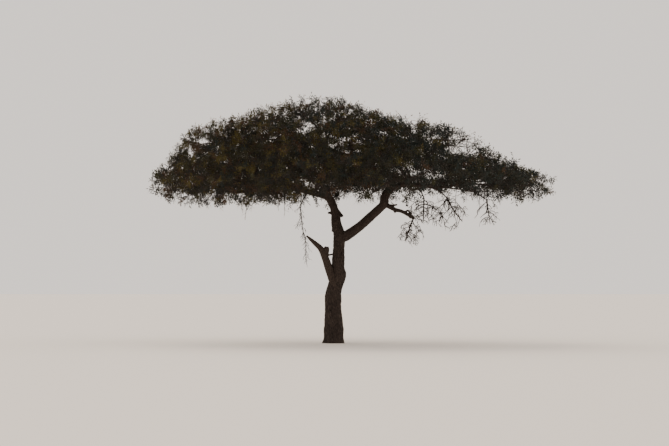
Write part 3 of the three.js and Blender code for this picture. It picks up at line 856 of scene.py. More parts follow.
def stand_sprays(sprays, twig, mass, random):
    """Sprays along one fine twig and at its tip. They droop under the crown, rise on its top and at its rim,
    and are thinner in both places."""
    count = max(int(twig.length * LEAFY_PART / SPRAY_STEP), 1)
    for i in range(count + 1):
        share = 1 - i * SPRAY_STEP / twig.length
        if share < BARE_ROOT:
            break
        root = twig.at(share)
        reach, above, below = (value[0] for value in crown_place(root[None]))
        swing = 0 if i == 0 else (1 if i % 2 else -1) * random.uniform(*SPRAY_TURN)
        lift = random.uniform(*INNER_LIFT)
        kind = LEAFY
        if above < UNDERSIDE:
            lift = random.uniform(*UNDER_LIFT)
            kind = random.choice(**UNDER_KINDS)
        elif below < TOPSIDE or reach > RIM_SHARE:
            lift = random.uniform(*TOP_LIFT)
            kind = random.choice(**TOP_KINDS)
        direction = turned(twig.tangent(share), swing + random.uniform(*SPRAY_WAVER), lift)
        sprays.add(root, direction, random.uniform(*SPRAY_ROLL), random.uniform(*SPRAY_SIZE), kind, mass)


# The twigs are thousands of thin tubes, so they are made as arrays, all at once.


def tube_faces(rings, sides):
    """The triangles of a closed tube that ends in a point."""
    turn = np.arange(sides)
    after = (turn + 1) % sides
    row = np.arange(rings - 2)[:, None] * sides
    a, b = row + turn, row + after
    walls = np.stack([a, b, b + sides, a, b + sides, a + sides], axis=-1).reshape(-1, 3)
    last = (rings - 2) * sides
    point = np.stack([last + turn, last + after, np.full(sides, last + sides)], axis=1)
    base = np.stack([np.zeros(sides - 2, int), turn[2:], turn[1:-1]], axis=1)
    return np.vstack([walls, point, base])


def tubes(paths, radii, sides):
    """Joined tapering tubes, each ending in a point: paths is (tubes, rings, 3), radii is (tubes, rings)."""
    count, rings = radii.shape
    along = unit(np.gradient(paths, axis=1))
    squarest = np.abs(along).max(axis=1).argmin(axis=1)
    side = unit(np.cross(along, np.eye(3)[squarest][:, None]))
    lift = np.cross(along, side)
    angles = np.arange(sides) * TURN / sides
    ring = side[:, :, None] * np.cos(angles)[:, None] + lift[:, :, None] * np.sin(angles)[:, None]
    points = paths[:, :, None] + ring * radii[:, :, None, None]
    body = points[:, :-1].reshape(count, -1, 3)
    return joined(np.concatenate([body, paths[:, -1:]], axis=1), tube_faces(rings, sides))


def joined(copies, faces):
    """Copies of one shape (copies, vertices, 3) as one list of vertices and one of triangles."""
    count, size, _ = copies.shape
    offsets = np.arange(count)[:, None, None] * size
    return copies.reshape(-1, 3), (faces + offsets).reshape(-1, 3)


def merged(parts):
    """Several (vertices, triangles) pairs as one."""
    points, faces, start = [], [], 0
    for part_points, part_faces in parts:
        points.append(part_points)
        faces.append(part_faces + start)
        start += len(part_points)
    return np.vstack(points), np.vstack(faces)


def array_piece(name, points, faces, materials, tones=None, smooth=False):
    """A piece made from arrays of vertices and triangles, with a material index for each triangle."""
    mesh = bpy.data.meshes.new(name)
    mesh.vertices.add(len(points))
    mesh.vertices.foreach_set("co", points.astype(np.float32).ravel())
    mesh.loops.add(faces.size)
    mesh.loops.foreach_set("vertex_index", faces.astype(np.int32).ravel())
    mesh.polygons.add(len(faces))
    mesh.polygons.foreach_set("loop_start", np.arange(0, faces.size, 3, dtype=np.int32))
    for material in materials:
        mesh.materials.append(material)
    if tones is not None:
        mesh.polygons.foreach_set("material_index", tones.astype(np.int32))
    mesh.polygons.foreach_set("use_smooth", np.full(len(faces), smooth))
    mesh.update(calc_edges=True)
    mesh.validate()
    return link_piece(name, mesh)


def link_piece(name, mesh):
    piece = bpy.data.objects.new(name, mesh)
    bpy.context.scene.collection.objects.link(piece)
    return piece


def settle(piece, nodes):
    """Hands a piece to the frame: it rides on the tree's one body and stands for its nodes."""
    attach(piece, "root")
    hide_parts(*nodes)


# A limb whose mean direction is at least this upright has its sides measured from +X.
UPRIGHT = 0.7


def limb_frame(path, shares):
    """Two directions square to a path at each share, kept steady by one fixed axis."""
    along = path.tangent(shares)
    mean = np.abs(along.mean(axis=0))
    reference = np.eye(3)[int(np.argmin(mean)) if mean[2] < UPRIGHT else 0]
    side = unit(reference - along * (along @ reference)[:, None])
    return side, np.cross(along, side)


# Bark: the width of a fissure's side as a share of the spacing, how high the plates and the fine ridges on
# them stand, and how far the fissures wander.
FISSURE_SIDE = 0.32
PLATE_RISE = 0.8
RIDGE_RISE = 0.35
WANDER = 0.9
# How often the wandering and the fine ridges repeat to one fissure, across the wood and along it.
WANDER_OFTEN = (0.5, 1.5)
RIDGE_OFTEN = (2.1, 5)


def bark_height(place, spacing, stretch):
    """The relief of fissured bark at a place along a limb laid straight, low in a fissure and about 1 on a
    plate."""
    x, y, z = place[0] / spacing, place[1] / spacing, place[2] / (spacing * stretch)
    across, along = WANDER_OFTEN
    wander = noise.noise((x * across, y * across, z * along)) * WANDER
    near, far = noise.voronoi((x + wander, y - wander, z))[0][:2]
    plate = min((far - near) / FISSURE_SIDE, 1)
    plate = plate * plate * (3 - 2 * plate)
    across, along = RIDGE_OFTEN
    return plate * PLATE_RISE + RIDGE_RISE * noise.noise((x * across, y * across, z * along))


# What softening takes off a skin's radius. Girth rises and falls by a share of it, over a length of about a
# third of a metre. Lumps are uneven by a share of their radius, a little more than once to a radius, and each
# one in its own way by its place.
SKIN_LOSS = 0.013
BUMPINESS = 0.09
BUMP_SCALE = 2.8
LUMPINESS = 0.35
LUMPS_OFTEN = 1.3
LUMP_CHANGE = 7
# The share of a limb's length over which its root, sunk in its carrier, rounds off.
SUNK_ROOTS = {"right_bough": 0.12, "elbow_branch": 0.1, "broken_stub": 0.14}
# The facets round the large limbs, the dead stem and the boughs, and the distance between their rings, which
# is wider on the boughs.
LIMB_SIDES, STEM_SIDES, BOUGH_SIDES = 48, 40, 18
RING_STEP, BOUGH_RING_STEP = 0.02, 0.045
FEWEST_RINGS = 4
# Vertices closer than this are one.
WELD = 1e-5


def roll_limb(bm, limb, sides, ring_step, relief=None, growth=0.0, sunk=0.0):
    """Rolls a grid into a closed tapering tube along a limb, with bark of a given relief on it. A limb that
    is softened later is rolled thicker by what the softening takes off, and its girth rises and falls a
    little. Its root rounds off over the share of its length that is sunk in its carrier."""
    rings = max(int(limb.path.length / ring_step), FEWEST_RINGS)
    sheet = bmesh.ops.create_grid(bm, x_segments=sides, y_segments=rings, size=1)["verts"]
    flat = np.array([vertex.co for vertex in sheet])
    angles = (flat[:, 0] + 1) * math.pi
    shares = (flat[:, 1] + 1) / 2
    centre = limb.path.at(shares)
    side, lift = limb_frame(limb.path, shares)
    radius = limb.radius(shares, angles) + growth
    if growth:
        bumps = [noise.noise(point * BUMP_SCALE) for point in map(Vector, centre + side * radius[:, None])]
        radius = radius * (1 + BUMPINESS * np.array(bumps))
    if sunk:
        radius = radius * np.sqrt(1 - np.clip(1 - shares / sunk, 0, 1) ** 2)
    if relief:
        depth, spacing, stretch = relief
        for i, (angle, share) in enumerate(zip(angles, shares)):
            place = (radius[i] * math.cos(angle), radius[i] * math.sin(angle), share * limb.path.length)
            radius[i] += depth * (bark_height(place, spacing, stretch) - 0.5)
    place = centre + side * (radius * np.cos(angles))[:, None] + lift * (radius * np.sin(angles))[:, None]
    for vertex, point in zip(sheet, place):
        vertex.co = point
    bmesh.ops.remove_doubles(bm, verts=sheet, dist=WELD)
    open_edges = [edge for edge in bm.edges if edge.is_boundary]
    bmesh.ops.holes_fill(bm, edges=open_edges)


def add_lump(bm, place, radius):
    """An uneven lump, where a branch was lost."""
    ball = bmesh.ops.create_icosphere(bm, subdivisions=4, radius=radius, matrix=Matrix.Translation(place))
    centre = Vector(place)
    for vertex in ball["verts"]:
        spot = (vertex.co - centre) / radius * LUMPS_OFTEN + centre * LUMP_CHANGE
        rise = 1 + LUMPINESS * noise.noise(spot)
        vertex.co = centre + (vertex.co - centre) * rise


def skin_of(limbs, snags, lumps, sides, growth):
    """A mesh under construction that holds limbs, each with its sunk share, short snags, and lumps."""
    bm = bmesh.new()
    for limb, sunk in limbs:
        roll_limb(bm, limb, sides, RING_STEP, growth=growth, sunk=sunk)
    for stations, radii in snags:
        roll_limb(bm, Limb(stations, radii, 0), sides, RING_STEP, growth=growth)
    for place, radius in lumps:
        add_lump(bm, place, radius)
    return bm


# The distance between the places along a limb that its grain is read from, and how many points are read at a
# time, which keeps the arrays small.
GRAIN_STEP = 0.03
FEWEST_GRAINS = 8
GRAIN_BATCH = 4000


def grain_of(points, chains):
    """For each point, its place along the nearest limb laid straight, the limb's radius there, and how far
    the point is from lying between two limbs. The grain runs on through the limbs of one chain."""
    samples = []
    for number, chain in enumerate(chains):
        start = 0.0
        for limb in chain:
            shares = np.linspace(0, 1, max(int(limb.path.length / GRAIN_STEP), FEWEST_GRAINS))
            side, lift = limb_frame(limb.path, shares)
            radii = limb.radius(shares, np.zeros(len(shares)))
            length = start + shares * limb.path.length
            samples.append((limb.path.at(shares), side, lift, radii, length, np.full(len(shares), number)))
            start += limb.path.length
    centre, side, lift, radii, length, index = (np.concatenate(column) for column in zip(*samples))
    grain = np.zeros((len(points), 3))
    girth, margin = np.zeros(len(points)), np.zeros(len(points))
    for start in range(0, len(points), GRAIN_BATCH):
        part = points[start : start + GRAIN_BATCH]
        away = np.linalg.norm(part[:, None] - centre, axis=-1) - radii
        nearest = away.argmin(axis=1)
        rivals = np.where(index == index[nearest][:, None], np.inf, away).min(axis=1)
        offset = part - centre[nearest]
        x = (offset * side[nearest]).sum(axis=1)
        y = (offset * lift[nearest]).sum(axis=1)
        along = (offset * np.cross(side[nearest], lift[nearest])).sum(axis=1)
        stop = start + len(part)
        grain[start:stop] = np.stack([x, y, length[nearest] + along], axis=1)
        girth[start:stop] = radii[nearest]
        margin[start:stop] = rivals - away[np.arange(len(part)), nearest]
    return grain, girth, margin


# How strongly one step of smoothing softens a skin.
SOFTENING = 0.5


def remeshed(bm, voxel, smoothing):
    """Overlapping closed shapes as one skin, with the creases between them softened."""
    rough = bpy.data.meshes.new("rough")
    bm.to_mesh(rough)
    bm.free()
    holder = link_piece("rough", rough)
    remesh = holder.modifiers.new("skin", "REMESH")
    remesh.mode = "VOXEL"
    remesh.voxel_size = voxel
    soften = holder.modifiers.new("soften", "SMOOTH")
    soften.factor = SOFTENING
    soften.iterations = smoothing
    graph = bpy.context.evaluated_depsgraph_get()
    skin = bpy.data.meshes.new_from_object(holder.evaluated_get(graph))
    bpy.data.objects.remove(holder)
    return skin


# A limb of this radius has the bark's full relief, and the least share of it is on the thinnest ones. The
# relief fades in the seam between two limbs, to a least share as well.
FULL_RADIUS = 0.25
LEAST_RELIEF = 0.35
SEAM = 0.06
SEAM_RELIEF = 0.25


def carve_bark(mesh, chains, depth, spacing, stretch):
    """Gives a skin the bark's relief, shallower on thin limbs, and keeps the straightened place as grain."""
    count = len(mesh.vertices)
    points = np.empty(count * 3)
    mesh.vertices.foreach_get("co", points)
    points = points.reshape(-1, 3)
    normals = np.empty(count * 3)
    mesh.vertex_normals.foreach_get("vector", normals)
    normals = normals.reshape(-1, 3)
    grain, girth, margin = grain_of(points, chains)
    size = np.clip(girth / FULL_RADIUS, LEAST_RELIEF, 1)
    fade = np.clip(margin / SEAM, SEAM_RELIEF, 1)
    heights = [bark_height(place, spacing * s, stretch) - 0.5 for place, s in zip(grain, size)]
    points += normals * (np.array(heights) * depth * size * fade)[:, None]
    mesh.vertices.foreach_set("co", points.astype(np.float32).ravel())
    attribute = mesh.attributes.new("grain", "FLOAT_VECTOR", "POINT")
    attribute.data.foreach_set("vector", (grain / size[:, None]).astype(np.float32).ravel())
    mesh.update()


def cut_level(mesh):
    """Cuts a mesh flat at the ground and closes the cut."""
    bm = bmesh.new()
    bm.from_mesh(mesh)
    geometry = [*bm.verts, *bm.edges, *bm.faces]
    cut = bmesh.ops.bisect_plane(bm, geom=geometry, plane_co=(0, 0, 0), plane_no=(0, 0, 1), clear_inner=True)
    rim = [item for item in cut["geom_cut"] if isinstance(item, bmesh.types.BMEdge)]
    bmesh.ops.edgeloop_fill(bm, edges=rim)
    bm.to_mesh(mesh)
    bm.free()


def add_node(tree, kind, inputs=None, stops=(), **settings):
    """Adds a node. Each input is given a value, or another node's socket to link from. A colour ramp is given
    its stops as well, each a position and a colour."""
    node = tree.nodes.new(kind)
    for name, value in settings.items():
        setattr(node, name, value)
    for name, value in (inputs or {}).items():
        if isinstance(value, bpy.types.NodeSocket):
            tree.links.new(value, node.inputs[name])
        else:
            node.inputs[name].default_value = value
    if stops:
        elements = node.color_ramp.elements
        while len(elements) < len(stops):
            elements.new(0.5)
        for element, (position, colour) in zip(elements, stops):
            element.position = position
            element.color = (*colour, 1)
    return node


def new_material(name, **surface):
    """A material whose shader has its plain values set on its own sockets."""
    material = bpy.data.materials.new(name)
    material.use_nodes = True
    shader = material.node_tree.nodes["Principled BSDF"]
    for socket, value in surface.items():
        shader.inputs[socket.replace("_", " ")].default_value = value
    return material, material.node_tree, shader


# Bark and dry wood scatter light dully. Their cracks lie five times further apart along the wood than across
# it, with fibres between them, and the weather bleaches patches of about half a metre.
BARK_ROUGHNESS = 0.92
BARK_SHEEN = 0.25
CRACK_STRETCH = 5
FIBRES_PER_CRACK = 2.6
PATCHES_PER_METRE = 1.8
# The depths at which the crack's, the plate's and the bleached tone are reached, and how strong the bleached
# patches are from their edges to their middles.
TONE_DEPTHS = (0.36, 0.56, 0.78)
BLEACH = [(0.42, (0, 0, 0)), (0.72, (0.5, 0.5, 0.5))]
# The strength of a material's small relief, and its depth in metres.
BARK_BUMP = (0.7, 0.012)


def bark_material(name, tones, spacing, on_grain):
    """Fissured bark or split wood: dark cracks between long dull plates, greyer where the weather bleached
    them. Its tones are those of a crack, of a plate and of the bleached patches."""
    material, tree, shader = new_material(name, Roughness=BARK_ROUGHNESS, Specular_IOR_Level=BARK_SHEEN)
    if on_grain:
        place = add_node(tree, "ShaderNodeAttribute", attribute_name="grain").outputs["Vector"]
    else:
        place = add_node(tree, "ShaderNodeTexCoord").outputs["Object"]
    scale = 1 / spacing
    long_way = {"Vector": place, "Scale": (scale, scale, scale / CRACK_STRETCH)}
    grain = add_node(tree, "ShaderNodeMapping", long_way).outputs["Vector"]
    crack_inputs = {"Vector": grain, "Scale": 1.0, "Randomness": 1.0}
    cracks = add_node(tree, "ShaderNodeTexVoronoi", crack_inputs, feature="DISTANCE_TO_EDGE")
    fibre_inputs = {"Vector": grain, "Scale": FIBRES_PER_CRACK, "Detail": 6.0, "Roughness": 0.65}
    fibres = add_node(tree, "ShaderNodeTexNoise", fibre_inputs).outputs["Fac"]
    patch_inputs = {"Vector": place, "Scale": PATCHES_PER_METRE, "Detail": 3.0}
    patches = add_node(tree, "ShaderNodeTexNoise", patch_inputs).outputs["Fac"]
    depth_inputs = {0: cracks.outputs["Distance"], 1: fibres, 2: fibres}
    depth = add_node(tree, "ShaderNodeMath", depth_inputs, operation="MULTIPLY_ADD").outputs["Value"]
    stops = list(zip(TONE_DEPTHS, tones))
    colour = add_node(tree, "ShaderNodeValToRGB", {"Fac": depth}, stops).outputs["Color"]
    bleach = add_node(tree, "ShaderNodeValToRGB", {"Fac": patches}, BLEACH).outputs["Color"]
    mix_inputs = {"Factor": bleach, "A": colour, "B": (*tones[-1], 1)}
    tinted = add_node(tree, "ShaderNodeMix", mix_inputs, data_type="RGBA").outputs["Result"]
    tree.links.new(tinted, shader.inputs["Base Color"])
    strength, distance = BARK_BUMP
    bump_inputs = {"Height": depth, "Strength": strength, "Distance": distance}
    bump = add_node(tree, "ShaderNodeBump", bump_inputs)
    tree.links.new(bump.outputs["Normal"], shader.inputs["Normal"])
    return material


# Acacia leaves, leathery and a little waxy. Their leaflets are about 2 mm apart, too fine to show, so the
# unevenness that they give is drawn about 6 mm apart.
LEAF_ROUGHNESS = 0.62
LEAF_SHEEN = 0.3
LEAFLET_SPACING = 0.00625
LEAF_BUMP = (0.3, 0.002)


def leaf_material(name, colour):
    """A feathery acacia leaf: dull, with a faint waxy sheen, in one plain colour to a spray."""
    surface = {"Base_Color": (*colour, 1), "Roughness": LEAF_ROUGHNESS, "Specular_IOR_Level": LEAF_SHEEN}
    material, tree, shader = new_material(name, **surface)
    place = add_node(tree, "ShaderNodeTexCoord").outputs["Object"]
    leaflet_inputs = {"Vector": place, "Scale": 1 / LEAFLET_SPACING, "Detail": 2.0}
    leaflets = add_node(tree, "ShaderNodeTexNoise", leaflet_inputs).outputs["Fac"]
    strength, distance = LEAF_BUMP
    bump_inputs = {"Height": leaflets, "Strength": strength, "Distance": distance}
    bump = add_node(tree, "ShaderNodeBump", bump_inputs)
    tree.links.new(bump.outputs["Normal"], shader.inputs["Normal"])
    return material


# The leaf's tones. Most of the crown is dark and olive, with painted sunlight that makes it yellower on the
# left, painted shade that makes it bluer on the right and darkest low in the crown, and a few dry sprays.
LEAF_TONES = {
    # Painted shade, given most often to sprays low in the crown.
    "leaf_deep_shade": "#181810",
    "leaf_dark_olive": "#262511",
    "leaf_olive": "#323114",
    # Olive with painted sunlight coming through the leaves, most often on the left.
    "leaf_sunlit_olive": "#494015",
    # Slate green as painted shade, most often on the right.
    "leaf_shaded_slate_green": "#192420",
    "leaf_dry_brown": "#3f2b16",
}
DEEP_SHADE, DARK_OLIVE, OLIVE, SUNLIT_OLIVE, SHADED_SLATE_GREEN, DRY_BROWN = range(len(LEAF_TONES))


def length_property(name, description, length):
    return bpy.props.FloatProperty(name=name, description=description, default=length, unit="LENGTH")


def colour_property(name, description, colour):
    return bpy.props.FloatVectorProperty(
        name=name, description=description, default=linear(colour), subtype="COLOR", size=3, min=0, max=1
    )


class AcaciaSizes(bpy.types.PropertyGroup):
    """Sizes of the leaves, the sprays and the bark."""

    leaf_length: length_property("Leaf length", "Length of one leaf", 0.105)
    leaf_width: length_property("Leaf width", "Width of one leaf", 0.038)
    spray_length: length_property("Spray length", "Length of a leafy spray", 0.36)
    bark_depth: length_property("Bark relief", "Depth of the trunk's fissures", 0.022)
    bark_spacing: length_property("Fissure spacing", "Distance between the trunk's fissures", 0.075)
    bark_stretch: bpy.props.FloatProperty(
        name="Plate stretch", description="How much longer than wide a bark plate is", default=5.0
    )
    skin_voxel: length_property("Skin grain", "Edge length of the trunk's mesh", 0.017)


class AcaciaColours(bpy.types.PropertyGroup):
    """Colours of the bark, the wood and the floor."""

    fissure: colour_property("Fissure", "Bottom of the bark's cracks", "#130f0d")
    plate: colour_property("Bark plate", "Face of the bark's plates", "#2e2622")
    weathered: colour_property("Weathered bark", "Bark that the weather bleached", "#453b35")
    dead_crack: colour_property("Dead wood crack", "Cracks in the dead wood", "#1d1714")
    dead_wood: colour_property("Dead wood", "Bare wood of the broken stem", "#3b312b")
    twig: colour_property("Twig", "Bark of the fine twigs", "#2a201b")
    floor: colour_property("Floor", "Plain pale floor", "#e9e2da")


# A leaf's outline, as shares of its width and its length, how steeply it is folded along its midrib, and
# how far its tip droops.
LEAF_OUTLINE = [(0, 0), (0.42, 0.32), (0.36, 0.68), (0, 1), (-0.36, 0.68), (-0.42, 0.32)]
LEAF_FOLD = 0.45
LEAF_DROOP = 0.1


def leaf_shape(length, width):
    """One leaf: a pointed blade of four triangles, folded along its midrib, drooping at its tip."""
    bm = bmesh.new()
    rim = bmesh.ops.create_circle(bm, cap_ends=True, segments=len(LEAF_OUTLINE), radius=1)["verts"]
    for vertex, (across, along) in zip(rim, LEAF_OUTLINE):
        height = abs(across) * width * LEAF_FOLD - along * along * length * LEAF_DROOP
        vertex.co = (across * width, along * length, height)
    bmesh.ops.connect_verts(bm, verts=[rim[0], rim[3]])
    bmesh.ops.triangulate(bm, faces=bm.faces)
    bmesh.ops.recalc_face_normals(bm, faces=bm.faces)
    bm.verts.index_update()
    points = np.array([vertex.co for vertex in bm.verts])
    faces = np.array([[vertex.index for vertex in face.verts] for face in bm.faces])
    bm.free()
    return points, faces


# The radii down a spray's twig and down its side twigs, and the facets round them.
SPRAY_TWIG = np.array([[0.0055, 0.0040, 0.0]])
SIDE_TWIG = np.array([[0.0040, 0.0]])
TWIG_SIDES = 3
# How crooked a spray's twig is, to the side and up or down. Where its side twigs start and the part that they
# take, the radians from one to the next and how far that varies, their lean in degrees, and their lengths.
SPRAY_CROOK = (0.04, 0.06)
SIDES_FROM, SIDES_PART = 0.2, 0.6
SIDES_TURN, TURN_THROW = 2.4, 0.4
SIDES_LEAN = (35, 65)
SIDES_REACH = (0.36, 0.52)
# The leaves on a side twig: the step from one to the next, their turn, and their lean at its tip and behind
# it. Then the same for the tufts on the spray's own twig, and about a full turn, which a tuft's leaves share.
LEAF_STEP, LEAF_TURN = 0.24, 2.1
END_LEAN, BESIDE_LEAN = (15, 30), (40, 75)
TUFT_STEP, TUFT_TURN = 0.18, 1.0
TUFT_END_LEAN, TUFT_LEAN = (15, 60), (40, 85)
ALL_ROUND = 6.28
LEAF_ROLL = (-0.8, 0.8)
LEAF_SIZE = (0.75, 1.15)


def spray_shape(seed, kind, sizes):
    """One spray along +Y: a crooked twig with side twigs, and tufts of leaves that spread all round them."""
    random = seeded(seed)
    length = sizes.spray_length * SPRAY_LENGTHS[kind]
    thickness = SPRAY_THICKNESS[kind]
    leaf_points, leaf_faces = leaf_shape(sizes.leaf_length, sizes.leaf_width)
    wood, blades = [], []

    def add_leaf(root, forward, turn, spread):
        direction = spread_from(forward, turn, spread)
        blades.append(placed(leaf_points, root, direction, random(*LEAF_ROLL), random(*LEAF_SIZE)))

    aside, rise = SPRAY_CROOK
    stations = [(0, 0, 0)]
    for i in (1, 2):
        stations.append((random(-aside, aside) * length, length * i / 2, random(-rise, rise) * length))
    main = Path(stations)
    rings = np.linspace(0, 1, SPRAY_TWIG.shape[1])
    wood.append(tubes(main.at(rings)[None], thickness * SPRAY_TWIG, TWIG_SIDES))
    turn = random(0, ALL_ROUND)
    for i in range(SIDE_TWIGS[kind]):
        share = SIDES_FROM + SIDES_PART * i / SIDE_TWIGS[kind]
        root = main.at(share)
        turn += SIDES_TURN + random(-TURN_THROW, TURN_THROW)
        direction = spread_from(main.tangent(share), turn, math.radians(random(*SIDES_LEAN)))
        tip = root + direction * length * random(*SIDES_REACH)
        wood.append(tubes(np.array([[root, tip]]), thickness * SIDE_TWIG, TWIG_SIDES))
        for k in range(SIDE_LEAVES[kind]):
            place = lerp(tip, root, LEAF_STEP * k)
            spread = math.radians(random(*(BESIDE_LEAN if k else END_LEAN)))
            add_leaf(place, direction, turn + LEAF_TURN * k, spread)
    nodes, per_node = TUFTS[kind]
    for i in range(nodes):
        share = 1 - TUFT_STEP * i
        turn += TUFT_TURN
        for k in range(per_node):
            spread = math.radians(random(*(TUFT_LEAN if i else TUFT_END_LEAN)))
            way = turn + k * ALL_ROUND / per_node + random(-TURN_THROW, TURN_THROW)
            add_leaf(main.at(share), main.tangent(share), way, spread)
    leaves = joined(np.array(blades), leaf_faces) if blades else None
    return merged(wood), leaves


def spread_from(forward, turn, angle):
    """A direction that leans away from forward by an angle, towards a turn round it."""
    side = unit(np.cross(forward, UP + 0.01))
    lift = np.cross(side, forward)
    return forward * math.cos(angle) + (side * math.cos(turn) + lift * math.sin(turn)) * math.sin(angle)


def placed(points, root, direction, roll, size):
    """A shape laid along +Y, put at a root and turned to a direction."""
    basis = bases(direction[None], np.array([roll]))[0]
    return root + (points * size) @ basis


def bases(directions, rolls):
    """For each direction, the sideways, forward and upward axes of a shape rolled about it."""
    level = np.cross(directions, UP)
    steep = np.linalg.norm(level, axis=1) < 1e-3
    level[steep] = (1, 0, 0)
    side = unit(level)
    lift = np.cross(side, directions)
    turned_side = side * np.cos(rolls)[:, None] + lift * np.sin(rolls)[:, None]
    return np.stack([turned_side, directions, np.cross(turned_side, directions)], axis=1)


# How much painted sunlight the leaves get at the middle, from 0 to 1, how many metres to the right take off
# 1, and the limits.
MIDDLE_SUNLIGHT = 0.45
SUNLIGHT_FADE = 9
SUNLIGHT_LIMITS = (0.05, 0.95)
# A spray's draw, from 0 to 1, gives its tone. It is olive up to the first number, and further by the second
# in full painted sunlight, sunlit olive up to a share of the painted sunlight, and slate green in painted
# shade down from 1 by a share of the sunlight that is missing. The dry share grows with the sunlight, and the
# lit share, which is kept out of the deep painted shade, grows from the crown's floor to its top.
OLIVE_DRAW = (0.15, 0.45)
SUNLIT_DRAW = 0.42
SHADED_SLATE_DRAW = 0.6
DRY_SHARE = (0.02, 0.12)
LIT_SHARE = (0.35, 0.5)


def tone_of(roots, random):
    """A leaf tone for each spray: warmer with painted sunlight on the left, cooler with painted shade on the
    right, darker with painted shade low in the crown.
    """
    _, above, below = crown_place(roots)
    depth = np.clip(above / (above + below), 0, 1)
    sunlight = np.clip(MIDDLE_SUNLIGHT - roots[:, 0] / SUNLIGHT_FADE, *SUNLIGHT_LIMITS)
    draw = random.uniform(size=len(roots))
    # Painted shade: the lower a spray is in the crown, the more often it gets the deep shade tone.
    shade = random.uniform(size=len(roots)) > LIT_SHARE[0] + LIT_SHARE[1] * depth
    tone = np.where(draw < OLIVE_DRAW[0] + OLIVE_DRAW[1] * sunlight, OLIVE, DARK_OLIVE)
    # Painted sunlight: sprays on the left more often get the sunlit olive.
    tone = np.where(draw < SUNLIT_DRAW * sunlight, SUNLIT_OLIVE, tone)
    # Painted shade: sprays on the right more often get the slate green.
    tone = np.where(draw > 1 - SHADED_SLATE_DRAW * (1 - sunlight), SHADED_SLATE_GREEN, tone)
    tone = np.where(shade, DEEP_SHADE, tone)
    dry = random.uniform(size=len(roots)) < DRY_SHARE[0] + DRY_SHARE[1] * sunlight
    return np.where(dry, DRY_BROWN, tone)


def groups_under(counts, limit):
    """Consecutive masses gathered into groups that each stay under a limit."""
    groups, total = [[]], 0
    for mass, count in enumerate(counts):
        if groups[-1] and total + count > limit:
            groups.append([])
            total = 0
        groups[-1].append(mass)
        total += count
    return groups


# A piece of leaves or twigs has at most this many triangles.
MOST_TRIANGLES = 185000

# The trunk's skin runs on through limbs in chains, each of which the bark's grain follows from end to end.
CHAINS = [
    ["trunk", "leader", "crown_leader"],
    ["right_bough", "right_riser"],
    ["elbow_branch"],
    ["left_bough"],
]
# The collar that the trunk swells into round its fork: its stations, its radii, its bend, and the share of it
# that is sunk in the trunk.
FORK_COLLAR = [(0.175, 0.01, 3.62), (0.2, -0.015, 3.95), (0.185, -0.015, 4.2), (0.1, 0, 4.5)]
COLLAR_RADII = (0.214, 0.15)
COLLAR_BEND = 3
COLLAR_SUNK = 0.3
# What is left of lost branches on the limbs: short snags, and lumps where they or others grew.
LIMB_SNAGS = [
    ([(-0.07, 0.09, 5.33), (0.11, 0.07, 5.06), (0.33, 0.05, 4.8)], (0.09, 0.042)),
    ([(-0.04, 0.06, 4.93), (-0.14, 0.055, 4.945), (-0.235, 0.05, 4.95)], (0.048, 0.03)),
    ([(2.7, -0.345, 4.96), (2.8, -0.345, 5.02), (2.9, -0.345, 4.905)], (0.026, 0.026)),
    ([(2.06, -0.265, 5.215), (2.26, -0.29, 5.225), (2.4, -0.31, 5.245)], (0.04, 0.018)),
    ([(2.2, -0.29, 5.105), (2.27, -0.295, 5.01), (2.33, -0.3, 4.93)], (0.03, 0.018)),
]
LIMB_LUMPS = [
    ((-0.026, 0, 4.28), 0.07),
    ((1.7, -0.24, 4.985), 0.09),
    ((1.24, -0.19, 4.56), 0.08),
    ((2.7, -0.345, 4.96), 0.058),
    ((2.9, -0.345, 4.905), 0.054),
    ((2.88, -0.355, 4.76), 0.05),
]
# On the dead stem: the snapped-off spur, the thin spur towards the trunk, and the ridge on the trunk that the
# stem grows out of. Then the spur's knots.
STEM_SNAGS = [
    ([(-0.35, -0.122, 3.31), (-0.317, -0.118, 3.44), (-0.285, -0.113, 3.575)], (0.128, 0.1)),
    ([(-0.3, -0.105, 3.325), (-0.16, -0.083, 3.35), (-0.02, -0.06, 3.378)], (0.034, 0.02)),
    ([(0.1, 0.0, 1.7), (0.09, -0.035, 1.95), (0.055, -0.05, 2.15), (0, -0.06, 2.32)], (0.1, 0.17)),
]
STEM_LUMPS = [((-0.278, -0.113, 3.57), 0.105), ((-0.245, -0.12, 3.615), 0.055)]
# The dead stem is finer than the trunk: shares of the trunk's skin loss, voxel, relief and spacing, and how
# much longer its plates are.
STEM_SKIN_LOSS = 0.6
STEM_VOXEL = 0.7
STEM_DEPTH = 0.8
STEM_SPACING = 0.7
STEM_STRETCH = 1.6
# Steps of smoothing on the trunk's skin and on the dead stem's.
LIMB_SMOOTHING, STEM_SMOOTHING = 4, 3
# The spacing of the drawn cracks on the trunk, the dead stem and the boughs, as shares of the fissures' own,
# and on twigs in metres.
TRUNK_CRACKS, STEM_CRACKS, BOUGH_CRACKS = 0.7, 0.5, 0.3
TWIG_CRACKS = 0.02


